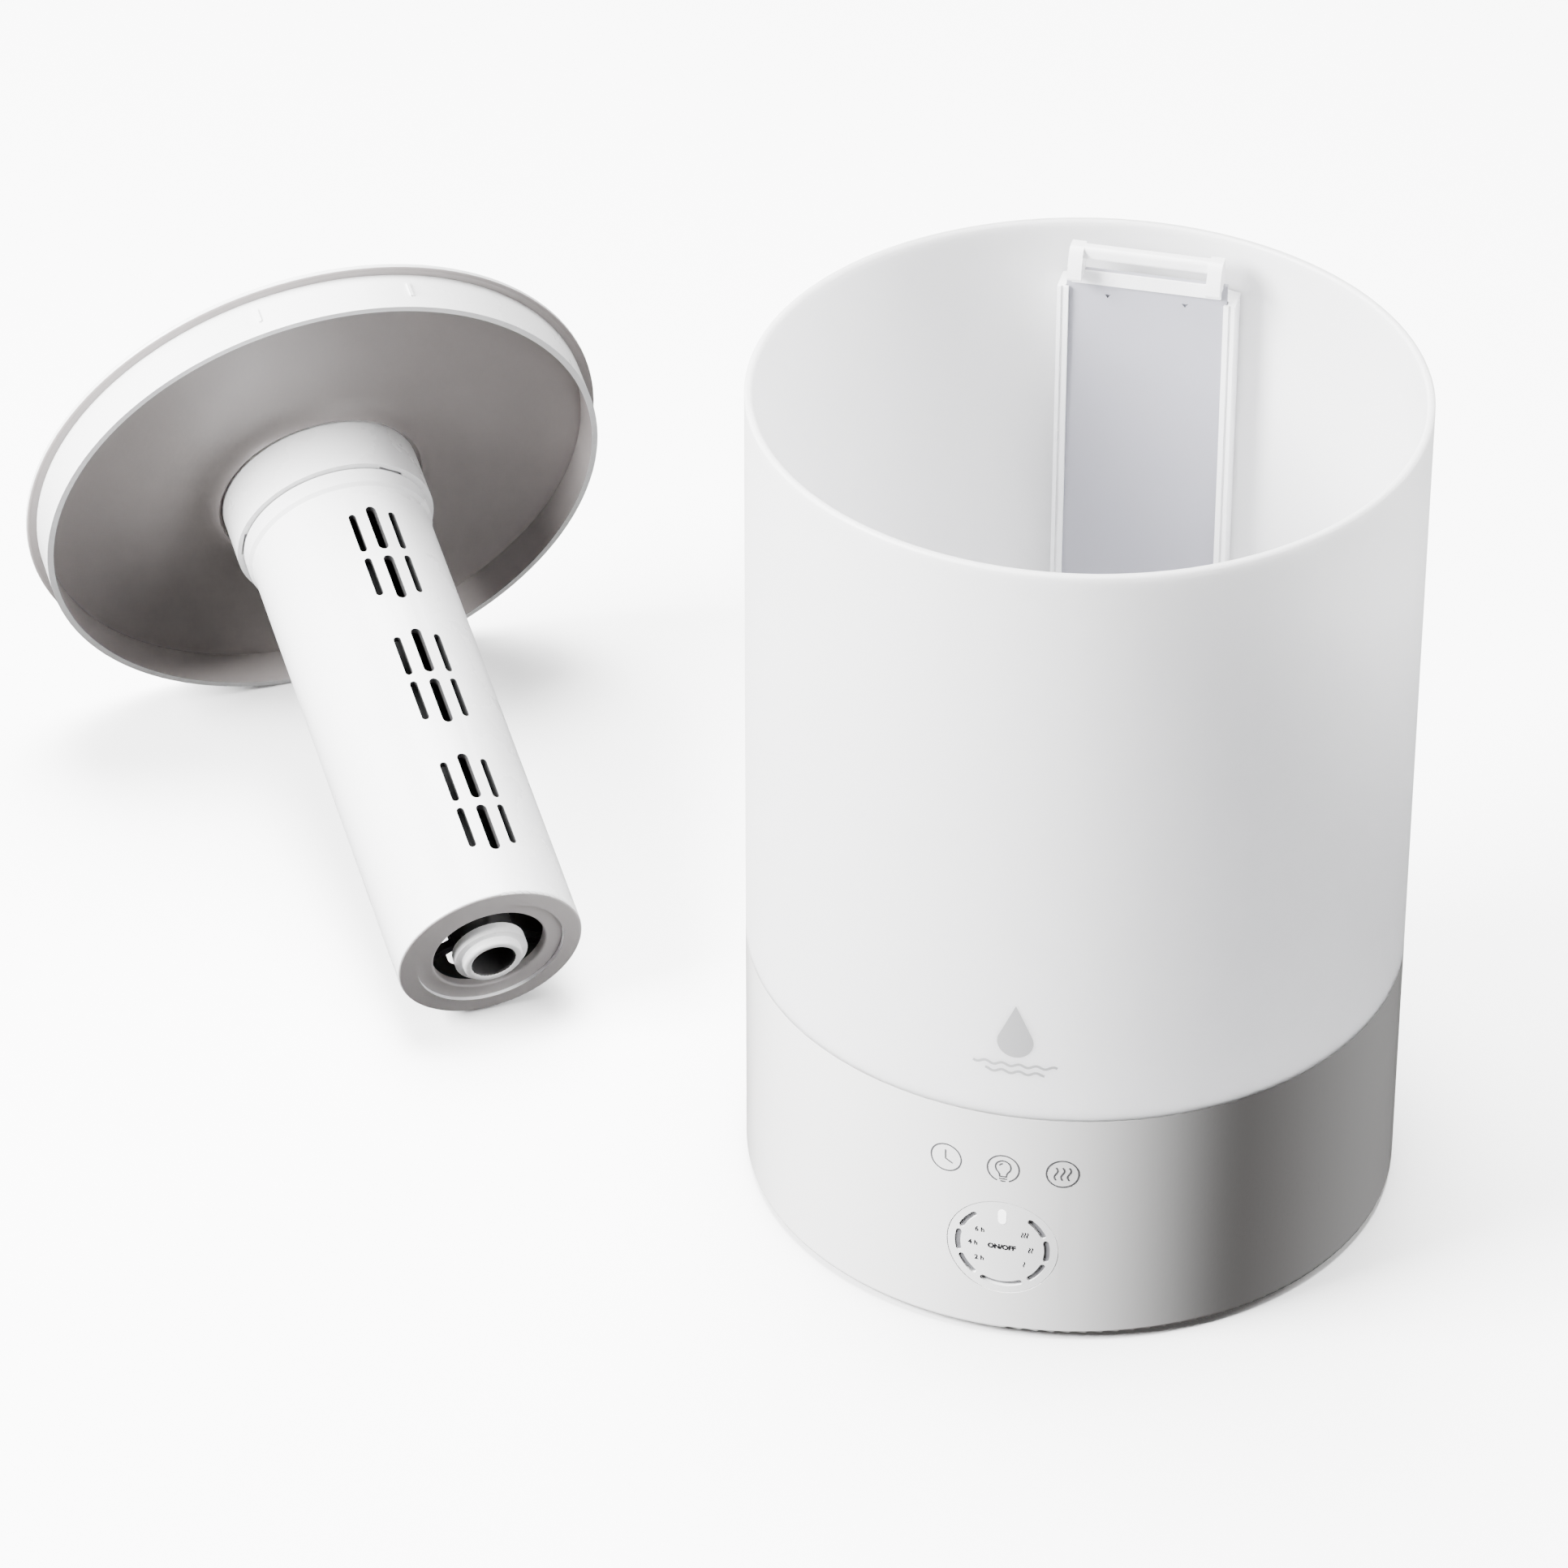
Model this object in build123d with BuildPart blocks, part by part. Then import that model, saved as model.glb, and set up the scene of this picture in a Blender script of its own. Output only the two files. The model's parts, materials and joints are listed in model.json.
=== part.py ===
# Cool mist humidifier of about 6 litres, filled from the top.
#
# A white base holds the electronics, and a frosted tank stands on it. The round lid
# carries the mist tube. The lid has been lifted off and lies beside the tank, on its
# skirt and on the end of its tube. Sizes are in millimetres and +Z is up. The origin
# is on the table under the tank's axis, the dial faces -Y and the air duct is at +Y.
import os
from math import atan2, cos, degrees, radians, sin, sqrt

from build123d import *

os.makedirs("parts", exist_ok=True)

# ------------------------------------------------------------ driving dimensions
# base and tank
body_diameter = 215.0
tank_rim_height = 291.7
base_height = 87.6  # table to the seam between base and tank
foot_height = 1.6
foot_radius = 8.0
base_wall = 2.5
deck_thickness = 2.5
tank_wall = 2.6
tank_floor = 3.0
spigot_depth = 6.5  # the tank's lower end, down inside the base's rim
fit_gap = 0.3
gasket_thickness = 1.2
gasket_width = 5.5
seam_gap = 0.15
post_radius = 4.5
fastener_count = 4
screw_radius = 1.4

# lid and mist tube, as they are when seated on the tank
flange_overhang = 3.5  # skirt to flange edge
flange_thickness = 2.6
crown_height = 7.0
skirt_clearance = 3.9
skirt_depth = 15.0
skirt_wall = 2.2
lid_skin = 2.2
collar_reach = 14.0  # collar's end, below the skirt's edge
collar_wall = 3.1
flare_depth = 10.0
collar_groove = 1.3  # shadow line where the flare meets the collar
rib_angle = 15.5  # two short ribs on the skirt, either side of the front
rib_setback = 8.0
rib_length = 6.0
rib_height = 0.6
rib_width = 1.1
tube_radius = 32.5
tube_wall = 2.4
tube_fit = 0.3
tube_insertion = 16.0
band_height = 7.0
band_swell = 1.2
lug_height = 3.0
lug_reach = 1.4
lug_arc = 16.0
lug_count = 3
twist_arc = 24.0
guide_bore = 7.5
guide_wall = 2.9
guide_lip = 1.1
guide_projection = 4.0
end_opening = 19.7
end_step = 25.8
slot_width = 3.8  # middle column
side_slot_width = 2.6
slot_length = 19.5
side_slot_short = 2.5
slot_bridge = 3.0
slot_group_pitch = 56.0
slot_column_pitch = 13.0  # degrees
first_group_reach = 52.0
last_group_margin = 40.0
slot_turn = 9.5  # degrees, slots' middle from the seated tube's front
nozzle_radius = 21.0
nozzle_height = 9.0
nozzle_spigot = 15.9
nozzle_mouth = 7.0

# where the lid lies: the middle of its skirt's edge, and the way the tube points,
# in degrees from -Y towards +X
lid_rest_x = -308.4
lid_rest_y = 176.6
lid_rest_heading = 32.85

# well and mist maker
well_clearance = 5.5
well_depth = 18.4
well_gap = 7.0  # tube's end to the well's floor
disc_radius = 10.0
disc_thickness = 1.2
seal_wall = 5.0
seal_height = 3.6
clamp_thickness = 2.5
clamp_screw_count = 3

# air duct
duct_half_width = 29.2
duct_depth = 12.9  # tank bore to the front of the sliding cover
duct_back_wall = 1.7
rail_width = 3.7
rail_lip = 1.4
cover_thickness = 1.8
cover_bite = 1.1  # the cover's edge, inside the rail's groove
rail_top_gap = 18.6  # below the rim, under the seated skirt's edge
rail_line = 0.8  # shadow line down the front of each rail
duct_foot_height = 14.0
duct_foot_depth = 13.0
duct_wall = 1.6
air_slot_half_width = 22.0
air_slot_depth = 10.0
handle_top_gap = 2.5
handle_half_width = 25.0
handle_cheek = 4.6
handle_bar = 4.5
handle_reach = 6.5
handle_slit = 5.0
cover_band = 4.6
notch_width = 2.2
notch_spacing = 25.4

# dial
dial_radius = 18.0
dial_gap = 0.25
dial_height = 35.3
dial_setback = 0.15
dial_thickness = 3.3  # in the middle; the face follows the body's curve
dial_travel = 1.2
dial_arc_inset = 3.4
dial_arc_width = 1.9
pointer_middle = 12.2
pointer_length = 5.6
pointer_width = 2.4
shaft_radius = 3.0
running_gap = 0.05
bezel_wall = 3.0

# fan
fan_radius = 27.0
fan_clearance = 2.2
blade_height = 8.5
blade_count = 22
motor_radius = 10.0
motor_height = 6.5
motor_shaft = 1.5

# float
float_radius = 11.0
float_height = 12.0
float_travel = 10.0
float_post = 3.2
float_gap = 0.3
float_angle = 198.0

# boards and inlet
board_thickness = 1.6
driver_board_size = (70.0, 56.0)
control_board_size = (56.0, 44.0)
led_count = 8
led_radius = 2.4
inlet_angle = 125.0
inlet_height = 18.0
inlet_radius = 5.6
inlet_bore = 2.9
inlet_pin = 1.0

# ------------------------------------------------------------ derived sizes
body_radius = body_diameter / 2
tank_bore = body_radius - tank_wall
spigot_radius = body_radius - base_wall - fit_gap
spigot_bore = spigot_radius - tank_wall
floor_under = base_height - spigot_depth
floor_top = floor_under + tank_floor
deck_top = floor_under - gasket_thickness
deck_under = deck_top - deck_thickness
plate_under = foot_height + 0.6
plate_top = plate_under + 2.4
post_circle = body_radius - base_wall - post_radius - 4.5
foot_circle = post_circle - post_radius - foot_radius

skirt_radius = tank_bore - skirt_clearance
skirt_bore = skirt_radius - skirt_wall
flange_radius = skirt_radius + flange_overhang
skirt_edge = tank_rim_height - skirt_depth
well_floor = floor_top - well_depth
well_under = well_floor - tank_floor
well_radius = tube_radius + well_clearance
well_hole = well_radius + tank_wall + 1.2
tube_end = well_floor + well_gap
tube_reach = skirt_edge - tube_end
tube_bore = tube_radius - tube_wall
collar_bore = tube_radius + tube_fit
collar_radius = collar_bore + collar_wall
collar_end = skirt_edge - collar_reach
tube_top = collar_end + tube_insertion
guide_radius = guide_bore + guide_wall

lug_low = collar_end + 5.0
lug_width = tube_radius * radians(lug_arc)
groove_radius = tube_radius + lug_reach + 0.25
slot_angle = slot_turn - 90
slot_span = tube_reach - first_group_reach - last_group_margin
slot_group_count = 1 + round(slot_span / slot_group_pitch)
group_pitch = slot_span / max(1, slot_group_count - 1)

duct_face = tank_bore - duct_depth
cover_back = duct_face + cover_thickness
rail_face = duct_face - rail_lip
rail_inner = duct_half_width - rail_width
rail_top = tank_rim_height - rail_top_gap
foot_top = floor_top + duct_foot_height
air_slot_back = duct_face
air_slot_front = air_slot_back - air_slot_depth
chimney_front = air_slot_front - duct_wall

dial_face_y = dial_setback - body_radius
dial_back_y = dial_face_y + dial_thickness
control_board_y = dial_face_y + 21.5
fan_low = plate_top + 0.4
fan_house_bore = fan_radius + fan_clearance
fan_y = air_slot_back - fan_house_bore - 0.8


def at(angle, radius, z=0.0):
    """A place at an angle and a distance from the Z axis."""
    return (radius * cos(radians(angle)), radius * sin(radians(angle)), z)


def front_plane(y):
    """A plane across the dial's axis whose normal looks out of the front."""
    return Plane(origin=(0, y, dial_height), x_dir=(1, 0, 0), z_dir=(0, -1, 0))


# ============================================================ base
with BuildPart() as base_housing:
    with BuildSketch(Plane.XZ):
        with BuildLine():
            Polyline(
                (body_radius - base_wall, foot_height),
                (body_radius, foot_height),
                (body_radius, base_height),
                (body_radius - base_wall, base_height),
                (body_radius - base_wall, deck_top),
                (well_hole, deck_top),
                (well_hole, deck_under),
                (body_radius - base_wall, deck_under),
                close=True,
            )
        make_face()
    revolve(axis=Axis.Z)
    bottom_edges = base_housing.edges().filter_by(GeomType.CIRCLE).group_by(Axis.Z)[0]
    fillet(bottom_edges.sort_by(SortBy.RADIUS)[-1], base_wall * 0.8)
    # four posts under the deck, with pilot holes for the bottom plate's screws
    with Locations((0, 0, plate_top)):
        with PolarLocations(post_circle, fastener_count, start_angle=45):
            Cylinder(
                post_radius,
                deck_under - plate_top,
                align=(Align.CENTER, Align.CENTER, Align.MIN),
            )
            Cylinder(
                screw_radius + 0.05,
                14,
                align=(Align.CENTER, Align.CENTER, Align.MIN),
                mode=Mode.SUBTRACT,
            )
    # dial hole, air slot, night-light windows and the hole for the power inlet
    with BuildSketch(front_plane(-body_radius / 2)):
        Circle(dial_radius + dial_gap)
    extrude(amount=body_radius, mode=Mode.SUBTRACT)
    with BuildSketch(Plane.XY.offset(deck_under - 1)):
        with Locations((0, (air_slot_front + air_slot_back) / 2)):
            Rectangle(2 * air_slot_half_width, air_slot_depth)
        with PolarLocations((well_hole + chimney_front) / 2, led_count, start_angle=22.5):
            Circle(led_radius + fit_gap)
    extrude(amount=deck_thickness + 2, mode=Mode.SUBTRACT)
    inlet_plane = Plane(
        origin=at(inlet_angle, body_radius / 2, inlet_height),
        z_dir=at(inlet_angle, 1),
    )
    with BuildSketch(inlet_plane):
        Circle(inlet_radius + 0.1)
    extrude(amount=body_radius, mode=Mode.SUBTRACT)
base_housing.part.label = "base_housing"
export_step(base_housing.part, "parts/base_housing.step")

grille_bar = 6.0
with BuildPart() as bottom_plate:
    with BuildSketch(Plane.XY.offset(plate_under)):
        Circle(body_radius - base_wall - fit_gap)
        with PolarLocations(post_circle, fastener_count, start_angle=45):
            Circle(screw_radius + 0.2, mode=Mode.SUBTRACT)
        # intake grille under the fan
        with Locations((0, fan_y)):
            with GridLocations(0, grille_bar, 1, 5):
                SlotOverall(30, 3.2, mode=Mode.SUBTRACT)
    extrude(amount=plate_top - plate_under)
    with Locations((0, 0, plate_under)):
        with PolarLocations(post_circle, fastener_count, start_angle=45):
            Cylinder(
                screw_radius * 2 + 0.4,
                1.2,
                align=(Align.CENTER, Align.CENTER, Align.MIN),
                mode=Mode.SUBTRACT,
            )
        with PolarLocations(foot_circle, fastener_count, start_angle=45):
            Cylinder(
                foot_radius + 0.05,
                1.0,
                align=(Align.CENTER, Align.CENTER, Align.MIN),
                mode=Mode.SUBTRACT,
            )
bottom_plate.part.label = "bottom_plate"
export_step(bottom_plate.part, "parts/bottom_plate.step")

with BuildPart() as rubber_feet:
    with BuildSketch():
        with PolarLocations(foot_circle, fastener_count, start_angle=45):
            Circle(foot_radius)
    extrude(amount=plate_under + 1.0)
    chamfer(rubber_feet.edges().group_by(Axis.Z)[0], 0.4)
rubber_feet.part.label = "rubber_feet"
export_step(rubber_feet.part, "parts/rubber_feet.step")

with BuildPart() as base_screws:
    with BuildSketch(Plane.XY.offset(plate_under)):
        with PolarLocations(post_circle, fastener_count, start_angle=45):
            Circle(screw_radius * 2)
    extrude(amount=1.2)
    with BuildSketch(Plane.XY.offset(plate_under + 1.2)):
        with PolarLocations(post_circle, fastener_count, start_angle=45):
            Circle(screw_radius)
    extrude(amount=11)
    with BuildSketch(Plane.XY.offset(plate_under)):
        with PolarLocations(post_circle, fastener_count, start_angle=45):
            Rectangle(3.2, 0.7)
            Rectangle(0.7, 3.2)
    extrude(amount=0.7, mode=Mode.SUBTRACT)
base_screws.part.label = "base_screws"
export_step(base_screws.part, "parts/base_screws.step")

# ============================================================ tank
blend_height = 2.0  # the step from spigot to wall
with BuildPart() as tank_shell:
    with BuildSketch(Plane.XZ):
        with BuildLine():
            Polyline(
                (disc_radius + 1, well_floor),
                (well_radius, well_floor),
                (well_radius, floor_top),
                (spigot_bore, floor_top),
                (spigot_bore, base_height - blend_height),
                (tank_bore, base_height + blend_height),
                (tank_bore, tank_rim_height),
                (body_radius, tank_rim_height),
                (body_radius, base_height + seam_gap),
                (spigot_radius, base_height + seam_gap),
                (spigot_radius, floor_under),
                (well_radius + tank_wall, floor_under),
                (well_radius + tank_wall, well_under),
                (disc_radius + 1, well_under),
                close=True,
            )
        make_face()
    revolve(axis=Axis.Z)
    rim_edges = tank_shell.edges().filter_by(GeomType.CIRCLE).group_by(Axis.Z)[-1]
    fillet(rim_edges, tank_wall * 0.35)
    # slot that brings the fan's air up into the duct
    with BuildSketch(Plane.XY.offset(floor_under - 1)):
        with Locations((0, (air_slot_front + air_slot_back) / 2)):
            Rectangle(2 * air_slot_half_width, air_slot_depth)
    extrude(amount=tank_floor + 2, mode=Mode.SUBTRACT)
    # bosses under the well for the clamp's screws
    clamp_circle = disc_radius + seal_wall + 4.5
    boss_radius = 3.2
    with Locations((0, 0, well_under)):
        with PolarLocations(clamp_circle, clamp_screw_count, start_angle=90):
            Cylinder(boss_radius, seal_height, align=(Align.CENTER, Align.CENTER, Align.MAX))
    with Locations((0, 0, well_under + 1.5)):
        with PolarLocations(clamp_circle, clamp_screw_count, start_angle=90):
            Cylinder(
                1.3,
                seal_height + 1.5,
                align=(Align.CENTER, Align.CENTER, Align.MAX),
                mode=Mode.SUBTRACT,
            )
tank_shell.part.label = "tank_shell"
export_step(tank_shell.part, "parts/tank_shell.step")

with BuildPart() as tank_gasket:
    with BuildSketch(Plane.XY.offset(deck_top)):
        Circle(spigot_radius - 0.3)
        Circle(spigot_radius - 0.3 - gasket_width, mode=Mode.SUBTRACT)
    extrude(amount=gasket_thickness)
tank_gasket.part.label = "tank_gasket"
export_step(tank_gasket.part, "parts/tank_gasket.step")

# ============================================================ air duct and its cover
groove_half_width = rail_inner + cover_bite
with BuildPart() as air_duct:
    with BuildSketch(Plane.XY.offset(base_height + blend_height + fit_gap)):
        Circle(tank_bore - fit_gap)
        with Locations((0, rail_face)):
            Rectangle(
                2 * duct_half_width,
                2 * duct_depth,
                align=(Align.CENTER, Align.MIN),
                mode=Mode.INTERSECT,
            )
        with BuildSketch(mode=Mode.PRIVATE) as channel:
            Circle(tank_bore - fit_gap - duct_back_wall)
            with Locations((0, rail_face - 1)):
                Rectangle(
                    2 * rail_inner, 2 * duct_depth, align=(Align.CENTER, Align.MIN), mode=Mode.INTERSECT
                )
        add(channel.sketch, mode=Mode.SUBTRACT)
    extrude(amount=rail_top - base_height - blend_height - fit_gap)
    # foot that collects the air from the slot in the tank's floor
    with BuildSketch(Plane.XY.offset(floor_top)):
        Circle(spigot_bore - fit_gap)
        with Locations((0, rail_face - duct_foot_depth)):
            Rectangle(
                2 * duct_half_width,
                3 * duct_depth,
                align=(Align.CENTER, Align.MIN),
                mode=Mode.INTERSECT,
            )
    extrude(amount=duct_foot_height)
    front_edges = air_duct.edges().filter_by(Axis.X).sort_by(Axis.Y)[0:2]
    fillet(front_edges.sort_by(Axis.Z)[-1], duct_foot_depth * 0.5)
    # inside of the foot, open below to the slot and above to the channel
    with BuildSketch(Plane.XY.offset(floor_top - 1)):
        Circle(spigot_bore - fit_gap - duct_wall)
        with Locations((0, air_slot_front)):
            Rectangle(
                2 * (rail_inner - 0.5),
                3 * duct_depth,
                align=(Align.CENTER, Align.MIN),
                mode=Mode.INTERSECT,
            )
    extrude(amount=duct_foot_height - duct_wall + 1, mode=Mode.SUBTRACT)
    with BuildSketch(Plane.XY.offset(foot_top - duct_wall - 1)):
        Circle(tank_bore - fit_gap - duct_back_wall)
        with Locations((0, cover_back + fit_gap)):
            Rectangle(
                2 * rail_inner,
                2 * duct_depth,
                align=(Align.CENTER, Align.MIN),
                mode=Mode.INTERSECT,
            )
    extrude(amount=duct_wall + 2, mode=Mode.SUBTRACT)
    # grooves that hold the cover, and a shadow line down the front of each rail
    with BuildSketch(Plane.XY.offset(foot_top)):
        with Locations((0, duct_face - fit_gap)):
            Rectangle(
                2 * groove_half_width,
                cover_thickness + 2 * fit_gap,
                align=(Align.CENTER, Align.MIN),
            )
        with Locations((0, rail_face)):
            with GridLocations(2 * (groove_half_width + 0.95), 0, 2, 1):
                Rectangle(rail_line, 2 * rail_line)
    extrude(amount=rail_top - foot_top + 1, mode=Mode.SUBTRACT)
air_duct.part.label = "air_duct"
export_step(air_duct.part, "parts/air_duct.step")

cover_top = tank_rim_height - handle_top_gap - handle_bar - handle_slit
band_low = cover_top - cover_band
cover_half_width = groove_half_width - fit_gap
with BuildPart() as duct_cover:
    with BuildSketch(Plane.XZ.offset(-duct_face)):
        with Locations((0, foot_top + 0.4)):
            Rectangle(
                2 * cover_half_width,
                cover_top - foot_top - 0.4,
                align=(Align.CENTER, Align.MIN),
            )
        # two small three-cornered openings that the handle's hooks snap into
        with Locations((0, band_low - 4.2)):
            with GridLocations(notch_spacing, 0, 2, 1):
                Triangle(a=notch_width, b=notch_width * 0.8, c=notch_width * 0.8, rotation=180, mode=Mode.SUBTRACT)
    extrude(amount=-cover_thickness)
duct_cover.part.label = "duct_cover"
export_step(duct_cover.part, "parts/duct_cover.step")

handle_top = tank_rim_height - handle_top_gap
cheek_inner = handle_half_width - handle_cheek
cheek_tip = cover_top - 1.5
with BuildPart() as duct_handle:
    # two hooked cheeks
    with BuildSketch(Plane.YZ.offset(cheek_inner)):
        with BuildLine():
            top_line = Line((cover_back, handle_top), (duct_face - 1.0, handle_top))
            Spline(
                (duct_face - 1.0, handle_top),
                (duct_face - handle_reach * 0.75, handle_top - 3.2),
                (duct_face - handle_reach, cheek_tip + 2.0),
                tangents=((-1, 0), (0, -1)),
            )
            tip = ThreePointArc(
                (duct_face - handle_reach, cheek_tip + 2.0),
                (duct_face - handle_reach + 1.1, cheek_tip),
                (duct_face - handle_reach + 2.6, cheek_tip + 0.8),
            )
            Polyline(
                tip @ 1,
                (duct_face - 0.6, cover_top - 0.8),
                (duct_face, cover_top - 0.8),
                (duct_face, cover_top + 0.2),
                (cover_back, cover_top + 0.2),
                top_line @ 0,
            )
        make_face()
    extrude(amount=handle_cheek)
    mirror(about=Plane.YZ)
    # bar between the cheeks
    with BuildSketch(Plane.YZ.offset(-cheek_inner)):
        with Locations((duct_face - 0.6, handle_top - handle_bar / 2)):
            RectangleRounded(4.4, handle_bar, 1.4)
    extrude(amount=2 * cheek_inner)
    # light band across the cover, just under the slit
    with BuildSketch(Plane.XZ.offset(-duct_face)):
        with Locations((0, band_low)):
            Rectangle(2 * rail_inner - 2, cover_band, align=(Align.CENTER, Align.MIN))
    extrude(amount=1.0)
duct_handle.part.label = "duct_handle"
export_step(duct_handle.part, "parts/duct_handle.step")

# ============================================================ mist maker under the well
seal_low = well_under - seal_height
disc_low = seal_low + (seal_height - disc_thickness) / 2
with BuildPart() as transducer_seal:
    with BuildSketch(Plane.XY.offset(seal_low)):
        Circle(disc_radius + seal_wall)
        Circle(disc_radius - 1.4, mode=Mode.SUBTRACT)
    extrude(amount=seal_height)
    with Locations((0, 0, disc_low)):
        Cylinder(
            disc_radius,
            disc_thickness,
            align=(Align.CENTER, Align.CENTER, Align.MIN),
            mode=Mode.SUBTRACT,
        )
transducer_seal.part.label = "transducer_seal"
export_step(transducer_seal.part, "parts/transducer_seal.step")

with BuildPart() as transducer_disc:
    with Locations((0, 0, disc_low)):
        Cylinder(disc_radius, disc_thickness, align=(Align.CENTER, Align.CENTER, Align.MIN))
transducer_disc.part.label = "transducer_disc"
export_step(transducer_disc.part, "parts/transducer_disc.step")

clamp_low = seal_low - clamp_thickness
with BuildPart() as transducer_clamp:
    with BuildSketch(Plane.XY.offset(clamp_low)):
        Circle(clamp_circle + 4.5)
        Circle(disc_radius - 1.4, mode=Mode.SUBTRACT)
        with PolarLocations(clamp_circle, clamp_screw_count, start_angle=90):
            Circle(1.5, mode=Mode.SUBTRACT)
    extrude(amount=clamp_thickness)
    # cooling fins hang from the clamp
    with BuildSketch(Plane.XY.offset(clamp_low)):
        Circle(clamp_circle - 3.2)
        Circle(disc_radius - 1.4, mode=Mode.SUBTRACT)
        with GridLocations(4.0, 0, 9, 1):
            Rectangle(2.2, 3 * clamp_circle, mode=Mode.SUBTRACT)
    extrude(amount=-7)
transducer_clamp.part.label = "transducer_clamp"
export_step(transducer_clamp.part, "parts/transducer_clamp.step")

with BuildPart() as clamp_screws:
    with Locations((0, 0, clamp_low)):
        with PolarLocations(clamp_circle, clamp_screw_count, start_angle=90):
            Cylinder(2.5, 1.6, align=(Align.CENTER, Align.CENTER, Align.MAX))
            Cylinder(
                1.25,
                clamp_thickness + seal_height + 1.0,
                align=(Align.CENTER, Align.CENTER, Align.MIN),
            )
clamp_screws.part.label = "clamp_screws"
export_step(clamp_screws.part, "parts/clamp_screws.step")

# ============================================================ float
float_circle = (well_radius + tank_wall + tank_bore) / 2
float_place = at(float_angle, float_circle, floor_top)
float_stop = 1.6
post_height = float_stop + float_height + float_travel + 3
with BuildPart(Plane(float_place)) as float_post_piece:
    Cylinder(float_post + 2.6, float_stop, align=(Align.CENTER, Align.CENTER, Align.MIN))
    Cylinder(float_post, post_height, align=(Align.CENTER, Align.CENTER, Align.MIN))
float_post_piece.part.label = "float_post"
export_step(float_post_piece.part, "parts/float_post.step")

with BuildPart(Plane(float_place).offset(post_height)) as float_cap:
    Cylinder(float_post + 2.6, 2.4, align=(Align.CENTER, Align.CENTER, Align.MIN))
    fillet(float_cap.edges().group_by(Axis.Z)[-1], 0.9)
float_cap.part.label = "float_cap"
export_step(float_cap.part, "parts/float_cap.step")

with BuildPart(Plane(float_place).offset(float_stop + 0.2)) as float_ring:
    Cylinder(float_radius, float_height, align=(Align.CENTER, Align.CENTER, Align.MIN))
    fillet(float_ring.edges(), 1.8)
    Cylinder(
        float_post + float_gap,
        float_height,
        align=(Align.CENTER, Align.CENTER, Align.MIN),
        mode=Mode.SUBTRACT,
    )
float_ring.part.label = "float_ring"
export_step(float_ring.part, "parts/float_ring.step")

# ============================================================ fan
fan_wall = 1.8
disc_level = fan_low + fan_wall + 1.4 + blade_height
motor_top = disc_level + 1.2 + 0.8 + motor_height
fan_top = motor_top + fan_wall
chimney_width = 2 * (air_slot_half_width + duct_wall)
chimney_middle = (air_slot_front + air_slot_back) / 2
with BuildPart() as fan_housing:
    with BuildSketch(Plane.XY.offset(fan_low)):
        with Locations((0, fan_y)):
            Circle(fan_house_bore + fan_wall)
        with Locations((0, chimney_middle)):
            Rectangle(chimney_width, air_slot_depth + 2 * duct_wall)
    extrude(amount=fan_top - fan_low)
    with BuildSketch(Plane.XY.offset(fan_low)):
        with Locations((0, chimney_middle)):
            Rectangle(chimney_width, air_slot_depth + 2 * duct_wall)
    extrude(amount=deck_under - fan_low - 0.2)
    with BuildSketch(Plane.XY.offset(fan_low + fan_wall)):
        with Locations((0, fan_y)):
            Circle(fan_house_bore)
    extrude(amount=motor_top - fan_low - fan_wall, mode=Mode.SUBTRACT)
    with BuildSketch(Plane.XY.offset(fan_low + fan_wall)):
        with Locations((0, chimney_middle)):
            Rectangle(2 * air_slot_half_width, air_slot_depth)
    extrude(amount=deck_under, mode=Mode.SUBTRACT)
    with BuildSketch(Plane.XY.offset(fan_low - 1)):
        with Locations((0, fan_y)):
            Circle(fan_radius * 0.66)
    extrude(amount=fan_wall + 2, mode=Mode.SUBTRACT)
fan_housing.part.label = "fan_housing"
export_step(fan_housing.part, "parts/fan_housing.step")

with BuildPart(Plane((0, fan_y, disc_level + 1.2 + 0.8))) as fan_motor:
    Cylinder(motor_radius, motor_height, align=(Align.CENTER, Align.CENTER, Align.MIN))
    fillet(fan_motor.edges().group_by(Axis.Z)[0], 1.0)
    with Locations((0, 0, -blade_height - 0.4)):
        Cylinder(motor_shaft, blade_height + 1, align=(Align.CENTER, Align.CENTER, Align.MIN))
fan_motor.part.label = "fan_motor"
export_step(fan_motor.part, "parts/fan_motor.step")

blade_inner = fan_radius * 0.7
with BuildPart(Plane((0, fan_y, disc_level))) as fan_rotor:
    Cylinder(fan_radius, 1.2, align=(Align.CENTER, Align.CENTER, Align.MIN))
    Cylinder(motor_shaft + 2.6, blade_height, align=(Align.CENTER, Align.CENTER, Align.MAX))
    with BuildSketch(Plane((0, fan_y, disc_level))):
        with PolarLocations((blade_inner + fan_radius) / 2, blade_count):
            Rectangle(fan_radius - blade_inner - 0.6, 1.0, rotation=32)
        Circle(fan_radius, mode=Mode.INTERSECT)
    extrude(amount=-blade_height)
    Cylinder(
        motor_shaft + running_gap,
        4 * blade_height,
        align=(Align.CENTER, Align.CENTER, Align.CENTER),
        mode=Mode.SUBTRACT,
    )
fan_rotor.part.label = "fan_rotor"
export_step(fan_rotor.part, "parts/fan_rotor.step")

# ============================================================ boards and power inlet
board_stand = 6.0
driver_y = chimney_front - 2 * fan_house_bore - driver_board_size[1] / 2 + 6
board_level = plate_top + board_stand
with BuildPart() as driver_board:
    with BuildSketch(Plane.XY.offset(board_level)):
        with Locations((0, driver_y)):
            Rectangle(*driver_board_size)
            with GridLocations(driver_board_size[0] - 8, driver_board_size[1] - 8, 2, 2):
                Circle(1.6, mode=Mode.SUBTRACT)
    extrude(amount=board_thickness)
driver_board.part.label = "driver_board"
export_step(driver_board.part, "parts/driver_board.step")

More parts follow.
